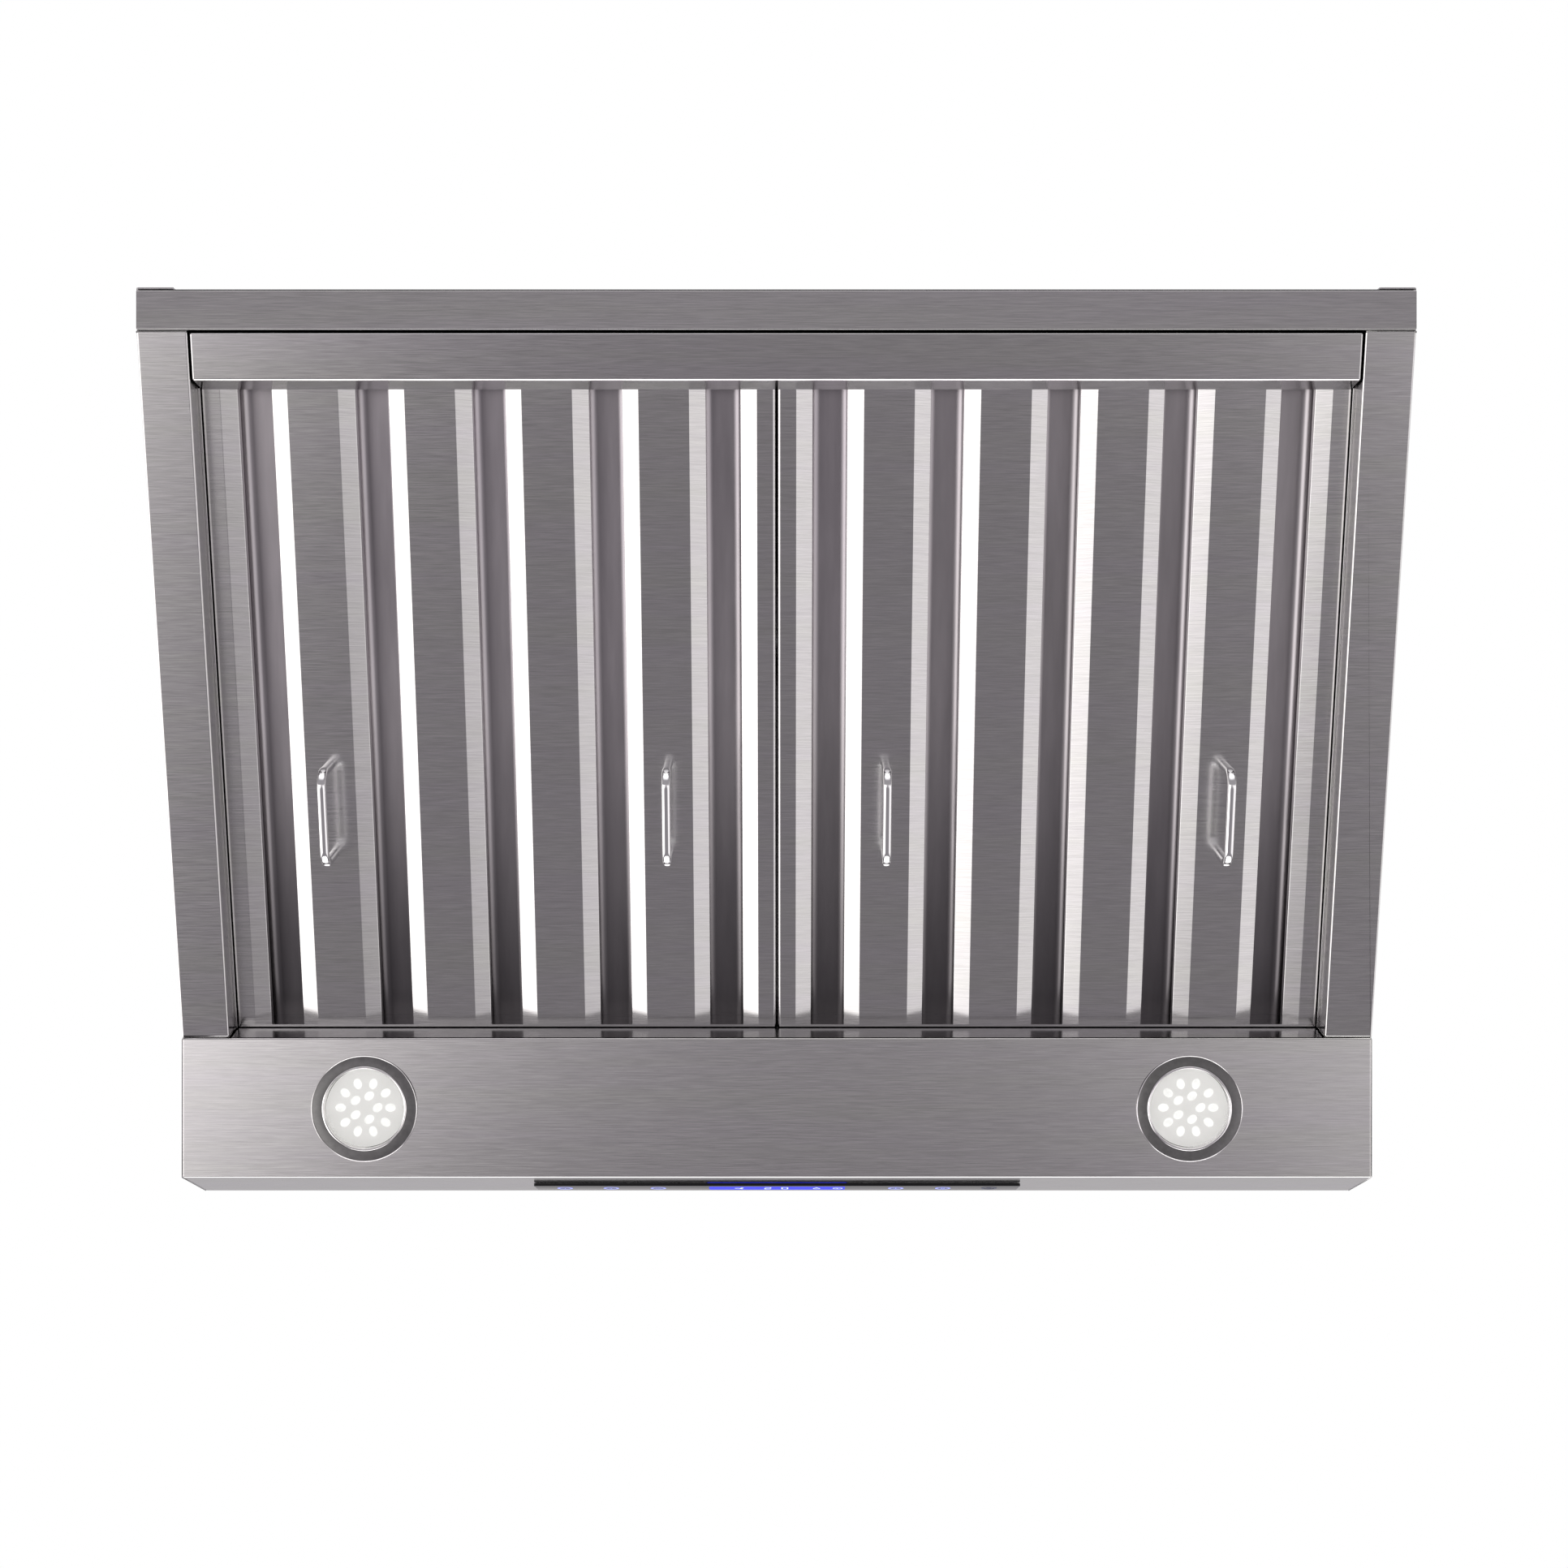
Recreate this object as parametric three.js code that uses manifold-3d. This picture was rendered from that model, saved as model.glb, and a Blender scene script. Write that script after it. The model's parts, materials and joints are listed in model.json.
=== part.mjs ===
// Under cabinet range hood, 30 inch class, with two baffle filters, a grease tray and a twin blower.
// Millimetres, +Z up. The origin is the middle of the top face, which lies against the cabinet.
// +Y is the wall side, -Y the front, and +X is to the right of someone who faces the hood.
import * as THREE from 'three';
import { mergeVertices } from 'three/addons/utils/BufferGeometryUtils.js';
import Module from 'manifold-3d';

const wasm = await Module();
wasm.setup();

// ---- driving dimensions ----
const WIDTH = 756;                 // over the side panels
const DEPTH = 562;                 // wall to front
const REAR_HEIGHT = 225;           // under the cabinet, at the wall
const PANEL_DROP = 127.1;          // from the top down to the light panel
const FASCIA_DROP = 70.3;          // from the top down to the control band
const REAR_BAR_DEPTH = 25.4;
const LIGHT_PANEL_DEPTH = 88.6;
const BAND_LEAN = 18.9;            // how far the control band leans out
const SHEET = 1;                   // folded steel sheet
const FIT = 0.3;                   // gap between parts that meet
const SIDE_FLANGE = 30;            // visible bottom flange of a side panel
const RECESS = 20;                 // from the flange up to the filter faces
const WALL_LIP = 22;               // turned up edge round the recess
const REAR_RETURN = 22;            // side panel edge that lies on the wall
const SIDE_TOP_RETURN = 15;        // side panel edge under the top panel
const TOP_RETURN_CLEAR = 25;       // where that edge stops short of the front and the wall
const FRONT_TOP_RETURN = 17;       // front panel edge under the top panel
const BAR_UPSTAND = 20;            // rear bar edge that stands up against the wall
const BACK_RETURN = 15;            // back panel edge under the top panel

const FILTER_WIDTH = 346;
const FILTER_CENTRE_X = 174.1;
const FILTER_REAR = 6;             // down the slope from the rear bar
const FILTER_FRONT = 439;
const FILTER_HEIGHT = 22;
const FILTER_SHEET = 0.8;
const FRAME_RETURN = 8;            // top edge of the filter frame, turned inwards
const SIDE_FLAT = 11.3;
const BAFFLE_FLAT = 30.6;
const BAFFLE_WING = 10;
const WING_RISE = 3.2;
const WING_LIP = 4.8;
const BAFFLE_GAP = 20;
const OUTER_BAFFLES = 4;
const INNER_BAFFLES = 5;
const INNER_HALF = 14.2;
const INNER_TOP = 21;
const INNER_FOOT = 7.5;
const INNER_RADIUS = 5;

const HANDLE_WIRE = 5.4;
const HANDLE_LENGTH = 63;
const HANDLE_REACH = 30;
const HANDLE_BEND = 9;
const HANDLE_AT = 296;             // down the slope from the rear bar
const HANDLE_SIDES = 10;
const HANDLE_STEPS = 26;
const BEND_STEPS = 4;              // in each rounded corner of an inner baffle

const TRAY_REAR = 1.3;
const TRAY_FLOOR_END = 29;
const TRAY_LIP_AT = 35.3;
const TRAY_LIP_HEIGHT = 19.4;
const TRAY_HALF = 346.7;

const CATCH_HALF_WIDTH = 25;
const CATCH_LENGTH = 14;
const CATCH_LOW = 0.5;             // above the filter
const CATCH_TOP = 9;
const PARTITION_FOOT = 4;          // above the slope's plane
const PARTITION_KNEE = 46;
const PARTITION_RETURN = 14;
const PARTITION_CLEAR = 6;         // at each end

const LAMP_X = 262;
const LAMP_Y = -218.3;
const BEZEL_RADIUS = 33.7;
const LENS_RADIUS = 24.5;
const SLEEVE_RADIUS = 27.2;
const LAMP_HOLE = 28;
const LAMP_CAN_RADIUS = 31;
const LAMP_CAN_NECK = 18;
const LAMP_CAN_SHOULDER = 26;      // heights above the light panel
const LAMP_CAN_TOP = 32;
const LAMP_CAN_FLOOR = 20;
const BEZEL_DROP = 1.5;
const BEZEL_EDGE = 0.7;
const SLEEVE_HEIGHT = 16;
const LENS_THICK = 2;

const GLASS_LOW_HALF = 157;
const GLASS_TOP_HALF = 156;
const GLASS_LOW = 22.8;            // up the control band
const GLASS_TOP = 41.5;
const GLASS_THICK = 2;
const WINDOW_HALF = 46;
const WINDOW_LOW = 25;
const WINDOW_TOP = 39;
const DISPLAY_DEPTH = 9;
const BOARD_HALF = 150;
const BOARD_LOW = 17;
const BOARD_TOP = 47;
const BOARD_THICK = 1.6;
const HOUSING_HALF = 158;
const HOUSING_LOW = 12;
const HOUSING_TOP = 52;
const HOUSING_DEPTH = 28;
const HOUSING_WALL = 1.6;

const FAN_Y = 104;
const FAN_Z = -80;
const SCROLL_START = 45;           // radius beside the tongue
const SCROLL_END = 70;             // radius at the outlet
const SCROLL_TONGUE = Math.PI / 4;
const SCROLL_INNER_X = 48;
const SCROLL_OUTER_X = 128;
const SCROLL_WALL = 1.2;
const SCROLL_TOP = -30;
const INLET_RADIUS = 32;
const INLET_FLANGE = 5;
const INLET_LIP = 1.5;
const INLET_RISE = 2.5;
const WHEEL_RADIUS = 41;
const WHEEL_BLADES = 24;
const WHEEL_INNER_X = 56;
const WHEEL_OUTER_X = 118;
const WHEEL_RIM = 5;
const WHEEL_RIM_DEPTH = 2;
const WHEEL_PLATE = 1.5;
const HUB_RADIUS = 12;
const HUB_LENGTH = 12;
const BLADE_CHORD = 9;
const BLADE_THICK = 1;
const BLADE_LEAN = 0.5;            // radians from the tangent
const SHAFT_RADIUS = 4;
const SHAFT_END = 5;               // short of the wheel's outer end

const MOTOR_BOSS_END = 45;         // half lengths and radii of the motor, from its ends inwards
const MOTOR_BOSS_FOOT = 41;
const MOTOR_CAP_EDGE = 38;
const MOTOR_BARREL = 34;
const MOTOR_BOSS_RADIUS = 16;
const MOTOR_BOSS_FOOT_RADIUS = 18;
const MOTOR_CAP_RADIUS = 34;
const MOTOR_RADIUS = 40;
const HOOP_GAP = 0.4;
const HOOP_THICK = 1.6;
const HOOP_HALF_WIDTH = 11;
const HANGER_HALF_WIDTH = 20;
const HANGER_FRONT = 40;           // ahead of the shaft
const HANGER_REAR = 26;            // behind it
const FRONT_LEG_AT = -36;
const FRONT_LEG_FOOT = 22.5;       // above the shaft
const REAR_LEG_AT = 24;
const REAR_LEG_FOOT = 33.6;

const DUCT_Y = 141;
const DUCT_RADIUS = 76.2;
const DUCT_WALL = 1;
const DUCT_HEIGHT = 45;
const DUCT_FLANGE = 14;
const DAMPER_Z = 22;
const DAMPER_PIN_RADIUS = 1.5;
const DAMPER_GAP = 3;              // between a flap and the bore
const DAMPER_PIN_GAP = 2.4;        // from the pin's axis to a flap's straight edge
const DAMPER_SHEET = 0.8;

const PLENUM_HALF_X = 131;
const PLENUM_REAR = 220;
const PLENUM_FRONT = 62;

const CABLE_X = 245;
const CABLE_Y = 235;
const CABLE_HOLE = 11;
const BUSHING_BORE = 6.5;
const BUSHING_FOOT = -9;
const BUSHING_COLLAR = 3.6;        // how far the collar stands out from the neck
const BUSHING_TOP = 2.6;
const JUNCTION_HALF = 55;
const JUNCTION_FRONT = 34;         // ahead of the cable
const JUNCTION_REAR = 26;          // behind it
const JUNCTION_DEPTH = 42;
const COVER_LIP_Z = -32;
const CAPACITOR_RADIUS = 13;
const CAPACITOR_LENGTH = 56;
const CAPACITOR_AT = [178, 161, -20];

const HOLE_SEGMENTS = 24;
const ROUND_SEGMENTS = 48;
const CUT_PAST = 5;                // how far a cutting solid reaches past what it cuts

// ---- worked out from the driving dimensions ----
const HALF = WIDTH / 2;
const WALL_Y = DEPTH / 2;
const FRONT_Y = -DEPTH / 2;
const BAR_FRONT_Y = WALL_Y - REAR_BAR_DEPTH;
const BAND_FOOT_Y = FRONT_Y + BAND_LEAN;
const PANEL_REAR_Y = BAND_FOOT_Y + LIGHT_PANEL_DEPTH;
const SLOPE = Math.atan2(REAR_HEIGHT - PANEL_DROP, BAR_FRONT_Y - PANEL_REAR_Y);
const SLOPE_LENGTH = Math.hypot(REAR_HEIGHT - PANEL_DROP, BAR_FRONT_Y - PANEL_REAR_Y);
const INSIDE_X = HALF - SIDE_FLANGE;
const BAR_REAR_Y = WALL_Y - SHEET - FIT;
const UNDER_TOP = -SHEET - FIT;
const BAND_TURN = Math.atan2(PANEL_DROP - FASCIA_DROP, -BAND_LEAN);
const DUCT_BORE = DUCT_RADIUS - DUCT_WALL;

// ---- materials ----
const finish = (color, roughness, metalness) =>
  new THREE.MeshStandardMaterial({ color, roughness, metalness });
const BRUSHED = finish(0x9c9a9d, 0.35, 1);
const BAFFLE_STEEL = finish(0x8b898c, 0.3, 1);
const CHROME = finish(0xdcdcde, 0.08, 1);
const GALVANISED = finish(0xa9adb0, 0.5, 1);
const BLACK_GLASS = finish(0x050506, 0.05, 0);
const BLACK_PLASTIC = finish(0x1c1c1e, 0.55, 0);
const LENS_PLASTIC = finish(0xdad9d4, 0.25, 0);
const RING_METAL = finish(0x6a686a, 0.35, 1);
const BOARD_GREEN = finish(0x1f5a38, 0.5, 0);
const DISPLAY_BLUE = finish(0x0a18d8, 0.3, 0);
const WHEEL_WHITE = finish(0xc9ccce, 0.45, 0.6);
const MOTOR_GREY = finish(0x55585c, 0.5, 0.8);

// ---- shape helpers ----
// A closed geometry as a solid that can be joined and cut, put where its matrix says.
function solid(geometry, place = new THREE.Matrix4()) {
  const bare = geometry.clone().applyMatrix4(place);
  bare.deleteAttribute('normal');
  bare.deleteAttribute('uv');
  const merged = mergeVertices(bare, 1e-4);
  return new wasm.Manifold(new wasm.Mesh({
    numProp: 3,
    vertProperties: new Float32Array(merged.attributes.position.array),
    triVerts: new Uint32Array(merged.index.array),
  }));
}

function geometryOf(body) {
  const { vertProperties, triVerts } = body.getMesh();
  const geometry = new THREE.BufferGeometry();
  geometry.setAttribute('position', new THREE.BufferAttribute(vertProperties, 3));
  geometry.setIndex(new THREE.BufferAttribute(triVerts, 1));
  return geometry;
}

function add(parent, name, shape, material) {
  const geometry = shape.isBufferGeometry ? shape : geometryOf(shape);
  const mesh = new THREE.Mesh(geometry, material);
  mesh.name = name;
  parent.add(mesh);
  return mesh;
}

const axes = (x, y, z) => new THREE.Matrix4().makeBasis(
  new THREE.Vector3(...x), new THREE.Vector3(...y), new THREE.Vector3(...z));
const ALONG_X = axes([0, 1, 0], [0, 0, 1], [1, 0, 0]);      // outline in Y,Z
const DOWN_SLOPE = axes([1, 0, 0], [0, 0, 1], [0, -1, 0]);  // outline in X,Z, run towards -Y

const outline = (points) => new THREE.Shape(points.map(([x, y]) => new THREE.Vector2(x, y)));

const extrude = (shape, depth) =>
  new THREE.ExtrudeGeometry(shape, { depth, bevelEnabled: false, curveSegments: 12 });

// An outline in Y,Z run along X from one place to another.
function alongX(shape, from, to) {
  return solid(extrude(shape, to - from).applyMatrix4(ALONG_X).translate(from, 0, 0));
}

// An outline in X,Z run down the slope, which is -Y here.
function downSlope(shape, from, to) {
  return solid(extrude(shape, to - from).applyMatrix4(DOWN_SLOPE).translate(0, -from, 0));
}

// A box between two places on each axis; the two X places may come in either order.
function block(x0, x1, y0, y1, z0, z1) {
  const box = new THREE.BoxGeometry(Math.abs(x1 - x0), y1 - y0, z1 - z0);
  return solid(box.translate((x0 + x1) / 2, (y0 + y1) / 2, (z0 + z1) / 2));
}

// A line moved sideways by a distance, to its left, with mitred corners.
function sideways(points, distance) {
  const normals = points.slice(1).map(([x, y], i) => {
    const [dx, dy] = [x - points[i][0], y - points[i][1]];
    const length = Math.hypot(dx, dy);
    return [-dy / length, dx / length];
  });
  return points.map(([x, y], i) => {
    const a = normals[Math.max(i - 1, 0)];
    const b = normals[Math.min(i, normals.length - 1)];
    const reach = distance / (1 + a[0] * b[0] + a[1] * b[1]);
    return [x + (a[0] + b[0]) * reach, y + (a[1] + b[1]) * reach];
  });
}

// The cut face of a folded sheet: its outer line, and the same line one sheet to the left.
function folded(points, thick) {
  return outline([...points, ...sideways(points, thick).reverse()]);
}

// Points of an arc about a centre, both ends included.
function arc(cx, cy, radius, from, to, steps) {
  return Array.from({ length: steps + 1 }, (_, i) => {
    const angle = from + (to - from) * i / steps;
    return [cx + radius * Math.cos(angle), cy + radius * Math.sin(angle)];
  });
}

const ABOUT_Z = axes([1, 0, 0], [0, 0, 1], [0, -1, 0]);
const ABOUT_X = axes([0, 0, -1], [1, 0, 0], [0, -1, 0]);

// A closed profile of radius and height, turned about Z or about X.
function turned(profile, segments, about = ABOUT_Z) {
  const closed = [...profile, profile[0]].map(([r, h]) => new THREE.Vector2(r, h));
  return solid(new THREE.LatheGeometry(closed, segments), about);
}

// The closed profile of a ring between two radii and two heights.
const ringProfile = (inner, outer, low, high) =>
  [[inner, low], [outer, low], [outer, high], [inner, high]];

const rod = (radius, length, segments) =>
  new THREE.CylinderGeometry(radius, radius, length, segments);
const rodAlongX = (radius, length, segments) => rod(radius, length, segments).rotateZ(Math.PI / 2);
const rodAlongZ = (radius, length, segments) => rod(radius, length, segments).rotateX(Math.PI / 2);

// A point that is so far down the slope and so far above its plane, as Y,Z of the hood.
function onSlope(down, up) {
  return [
    BAR_FRONT_Y - down * Math.cos(SLOPE) + up * Math.sin(SLOPE),
    -REAR_HEIGHT + down * Math.sin(SLOPE) + up * Math.cos(SLOPE),
  ];
}

const group = new THREE.Group();

// Everything that lies along the sloped underside sits in this group: -Y runs down the slope to
// the front and +Z stands square to its plane.
const slope = new THREE.Group();
slope.position.set(0, BAR_FRONT_Y, -REAR_HEIGHT);
slope.rotation.x = -SLOPE;
group.add(slope);

// ---- shell ----
function topPanel() {
  const plate = outline([[-HALF, FRONT_Y], [HALF, FRONT_Y], [HALF, WALL_Y], [-HALF, WALL_Y]]);
  plate.holes.push(new THREE.Path().absarc(0, DUCT_Y, DUCT_BORE, 0, 2 * Math.PI, true));
  plate.holes.push(new THREE.Path().absarc(CABLE_X, CABLE_Y, CABLE_HOLE, 0, 2 * Math.PI, true));
  const geometry = new THREE.ExtrudeGeometry(plate,
    { depth: SHEET, bevelEnabled: false, curveSegments: HOLE_SEGMENTS });
  add(group, 'top_panel', solid(geometry.translate(0, 0, -SHEET)), BRUSHED);
}

// The outer line of the front, from the recess round to the top.
const FRONT_LINE = [
  onSlope(SLOPE_LENGTH, WALL_LIP),
  [PANEL_REAR_Y, -PANEL_DROP],
  [BAND_FOOT_Y, -PANEL_DROP],
  [FRONT_Y, -FASCIA_DROP],
  [FRONT_Y, UNDER_TOP],
  [FRONT_Y + FRONT_TOP_RETURN, UNDER_TOP],
];

function sidePanel(name, side) {
  const inset = sideways(FRONT_LINE, -SHEET - FIT);
  const front = onSlope(SLOPE_LENGTH - FIT, 0);
  const rear = onSlope(FIT, 0);
  const overBar = -REAR_HEIGHT + SHEET + FIT;
  const face = outline([
    [WALL_Y, UNDER_TOP], [inset[4][0], UNDER_TOP], inset[3], inset[2],
    [front[0] + FIT, inset[1][1]], front, rear, [rear[0], overBar],
    [WALL_Y - SHEET, overBar], [WALL_Y - SHEET, -REAR_HEIGHT], [WALL_Y, -REAR_HEIGHT],
  ]);
  const flange = [[HALF, 0], [INSIDE_X, 0], [INSIDE_X, WALL_LIP]];
  const ledge = solid(extrude(folded(flange, -SHEET), SLOPE_LENGTH - 2 * FIT)
    .applyMatrix4(DOWN_SLOPE).translate(0, -FIT, 0).applyMatrix4(slope.matrix));
  const rearReturn = block(HALF - REAR_RETURN, HALF, WALL_Y - SHEET, WALL_Y, -REAR_HEIGHT, UNDER_TOP);
  const topReturn = block(HALF - SIDE_TOP_RETURN, HALF,
    FRONT_Y + TOP_RETURN_CLEAR, WALL_Y - TOP_RETURN_CLEAR, UNDER_TOP - SHEET, UNDER_TOP);
  const body = alongX(face, HALF - SHEET, HALF).add(ledge).add(rearReturn).add(topReturn);
  add(group, name, side > 0 ? body : body.mirror([1, 0, 0]), BRUSHED);
}

// The corners are cut away where the side panels' top edges turn in.
function backPanel() {
  const outerY = BAR_REAR_Y - SHEET - FIT;
  const line = [
    [outerY, -REAR_HEIGHT + SHEET + FIT],
    [outerY, UNDER_TOP],
    [outerY - BACK_RETURN, UNDER_TOP],
  ];
  const half = HALF - SHEET - 2 * FIT;
  const cut = SIDE_TOP_RETURN + 3;
  let panel = alongX(folded(line, SHEET), -half, half);
  for (const side of [-1, 1]) {
    panel = panel.subtract(block(side * (HALF - cut), side * HALF,
      outerY - BACK_RETURN - CUT_PAST, outerY - SHEET, UNDER_TOP - 3 * SHEET, 0));
  }
  add(group, 'back_panel', panel, GALVANISED);
}

// Its upstanding edges stop short of the side panels; only the strip below runs full width.
function rearBar() {
  const line = [
    onSlope(0, WALL_LIP), onSlope(0, 0),
    [BAR_REAR_Y, -REAR_HEIGHT], [BAR_REAR_Y, -REAR_HEIGHT + BAR_UPSTAND],
  ];
  let bar = alongX(folded(line, SHEET), -HALF, HALF);
  for (const side of [-1, 1]) {
    bar = bar.subtract(block(side * (HALF - SHEET - 2 * FIT), side * (HALF + SHEET),
      BAR_FRONT_Y - CUT_PAST, WALL_Y + SHEET, -REAR_HEIGHT + SHEET, -REAR_HEIGHT + WALL_LIP + CUT_PAST));
  }
  add(group, 'rear_bar', bar, BRUSHED);
}

// Lamp holes and the display window are cut through; the ends of the recess wall and of the top
// edge are cut back beside the side panels.
function frontPanel() {
  let panel = alongX(folded(FRONT_LINE, -SHEET), -HALF, HALF);
  const band = new THREE.Matrix4().makeRotationX(BAND_TURN).setPosition(0, BAND_FOOT_Y, -PANEL_DROP);
  const window = new THREE.BoxGeometry(2 * WINDOW_HALF, WINDOW_TOP - WINDOW_LOW, 2 * CUT_PAST)
    .translate(0, (WINDOW_LOW + WINDOW_TOP) / 2, 0);
  panel = panel.subtract(solid(window, band));
  for (const side of [-1, 1]) {
    const past = side * (HALF + SHEET);
    const hole = rodAlongZ(LAMP_HOLE, 2 * CUT_PAST, ROUND_SEGMENTS);
    panel = panel.subtract(solid(hole.translate(side * LAMP_X, LAMP_Y, -PANEL_DROP)));
    panel = panel.subtract(block(side * (INSIDE_X - SHEET - FIT), past,
      PANEL_REAR_Y - 3, PANEL_REAR_Y + WALL_LIP, -PANEL_DROP + SHEET, -PANEL_DROP + 2 * WALL_LIP));
    panel = panel.subtract(block(side * (HALF - FRONT_TOP_RETURN), past,
      FRONT_Y + SHEET, FRONT_Y + FRONT_TOP_RETURN + CUT_PAST, UNDER_TOP - CUT_PAST, 0));
  }
  add(group, 'front_panel', panel, BRUSHED);
}

// ---- controls, in the frame of the control band: +Y up the band, +Z out of it ----
function controls() {
  const band = new THREE.Group();
  band.position.set(0, BAND_FOOT_Y, -PANEL_DROP);
  band.rotation.x = BAND_TURN;
  group.add(band);
  const glass = outline([
    [-GLASS_LOW_HALF, GLASS_LOW], [GLASS_LOW_HALF, GLASS_LOW],
    [GLASS_TOP_HALF, GLASS_TOP], [-GLASS_TOP_HALF, GLASS_TOP],
  ]);
  add(band, 'control_glass', solid(extrude(glass, GLASS_THICK).translate(0, 0, FIT)), BLACK_GLASS);
  const displayHalf = WINDOW_HALF - 1;
  add(band, 'display_module', block(-displayHalf, displayHalf,
    WINDOW_LOW + 0.5, WINDOW_TOP - 0.5, -DISPLAY_DEPTH, 0), DISPLAY_BLUE);
  const boardTop = -DISPLAY_DEPTH - FIT;
  add(band, 'control_board', block(-BOARD_HALF, BOARD_HALF,
    BOARD_LOW, BOARD_TOP, boardTop - BOARD_THICK, boardTop), BOARD_GREEN);
  const insideHalf = HOUSING_HALF - HOUSING_WALL;
  const hollow = block(-insideHalf, insideHalf,
    HOUSING_LOW + HOUSING_WALL, HOUSING_TOP - HOUSING_WALL, -HOUSING_DEPTH + HOUSING_WALL, CUT_PAST);
  add(band, 'control_housing', block(-HOUSING_HALF, HOUSING_HALF,
    HOUSING_LOW, HOUSING_TOP, -HOUSING_DEPTH, -SHEET - FIT).subtract(hollow), BLACK_PLASTIC);
}

// ---- lamps ----
function lamp(name, side) {
  const place = new THREE.Group();
  place.position.set(side * LAMP_X, LAMP_Y, -PANEL_DROP);
  group.add(place);
  const inner = LENS_RADIUS + BEZEL_EDGE;
  const bezel = [
    [inner, -BEZEL_DROP], [BEZEL_RADIUS - BEZEL_EDGE, -BEZEL_DROP],
    [BEZEL_RADIUS, -BEZEL_DROP + BEZEL_EDGE], [BEZEL_RADIUS, -FIT],
    [SLEEVE_RADIUS, -FIT], [SLEEVE_RADIUS, SLEEVE_HEIGHT], [inner, SLEEVE_HEIGHT],
  ];
  add(place, `${name}_lamp_bezel`, turned(bezel, ROUND_SEGMENTS), RING_METAL);
  const lens = turned(ringProfile(0, LENS_RADIUS, 0, LENS_THICK), ROUND_SEGMENTS);
  add(place, `${name}_lamp_lens`, lens, LENS_PLASTIC);
  const canInner = SLEEVE_RADIUS + 2 * FIT;
  const can = [
    [canInner, SHEET + FIT], [LAMP_CAN_RADIUS, SHEET + FIT], [LAMP_CAN_RADIUS, LAMP_CAN_SHOULDER],
    [LAMP_CAN_NECK, LAMP_CAN_TOP], [0, LAMP_CAN_TOP], [0, LAMP_CAN_FLOOR], [canInner, LAMP_CAN_FLOOR],
  ];
  add(place, `${name}_lamp_housing`, turned(can, ROUND_SEGMENTS), BLACK_PLASTIC);
}

// ---- grease tray ----
// A trough: the outer prism with the space inside its sheet taken out, ends included.
function greaseTray() {
  const line = [
    [-TRAY_REAR, TRAY_LIP_HEIGHT], [-TRAY_REAR, 0], [-TRAY_FLOOR_END, 0], [-TRAY_LIP_AT, TRAY_LIP_HEIGHT],
  ];
  const [rearTop, rearFoot, frontFoot, frontTop] = sideways(line, -SHEET);
  const lean = (frontTop[0] - frontFoot[0]) / (frontTop[1] - frontFoot[1]);
  const past = TRAY_LIP_HEIGHT + CUT_PAST;
  const hollow = outline([
    [frontFoot[0] + lean * (past - frontFoot[1]), past], frontFoot, rearFoot, [rearTop[0], past],
  ]);
  const trough = alongX(outline([...line].reverse()), -TRAY_HALF, TRAY_HALF)
    .subtract(alongX(hollow, -TRAY_HALF + SHEET, TRAY_HALF - SHEET));
  add(slope, 'grease_tray', trough, BRUSHED);
}

// ---- filters ----
// Each baffle filter: a frame, outer baffles that face down, and inner baffles behind their gaps.
function filterFrame() {
  const half = FILTER_WIDTH / 2;
  const rail = [
    [-half + FRAME_RETURN, FILTER_HEIGHT], [-half, FILTER_HEIGHT], [-half, 0], [-half + SIDE_FLAT, 0],
    [-half + SIDE_FLAT + BAFFLE_WING, WING_RISE],
    [-half + SIDE_FLAT + BAFFLE_WING, WING_RISE + WING_LIP],
  ];
  const one = downSlope(folded(rail, FILTER_SHEET), FILTER_REAR, FILTER_FRONT);
  const plate = outline([[-half, 0], [half, 0], [half, FILTER_HEIGHT], [-half, FILTER_HEIGHT]]);
  const rearEnd = downSlope(plate, FILTER_REAR, FILTER_REAR + SHEET);
  const frontEnd = downSlope(plate, FILTER_FRONT - SHEET, FILTER_FRONT);
  return one.add(one.mirror([1, 0, 0])).add(rearEnd).add(frontEnd);
}

const BAFFLE_FROM = FILTER_REAR + SHEET + FIT;
const BAFFLE_TO = FILTER_FRONT - SHEET - FIT;

function outerBaffle() {
  const flat = BAFFLE_FLAT / 2;
  const wing = flat + BAFFLE_WING;
  const line = [
    [-wing, WING_RISE + WING_LIP], [-wing, WING_RISE], [-flat, 0],
    [flat, 0], [wing, WING_RISE], [wing, WING_RISE + WING_LIP],
  ];
  return downSlope(folded(line, FILTER_SHEET), BAFFLE_FROM, BAFFLE_TO);
}

function innerBaffle() {
  const corner = INNER_HALF - INNER_RADIUS;
  const line = [
    [INNER_HALF, INNER_FOOT],
    ...arc(corner, INNER_TOP - INNER_RADIUS, INNER_RADIUS, 0, Math.PI / 2, BEND_STEPS),
    ...arc(-corner, INNER_TOP - INNER_RADIUS, INNER_RADIUS, Math.PI / 2, Math.PI, BEND_STEPS),
    [-INNER_HALF, INNER_FOOT],
  ];
  return downSlope(folded(line, FILTER_SHEET), BAFFLE_FROM, BAFFLE_TO);
}

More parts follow.
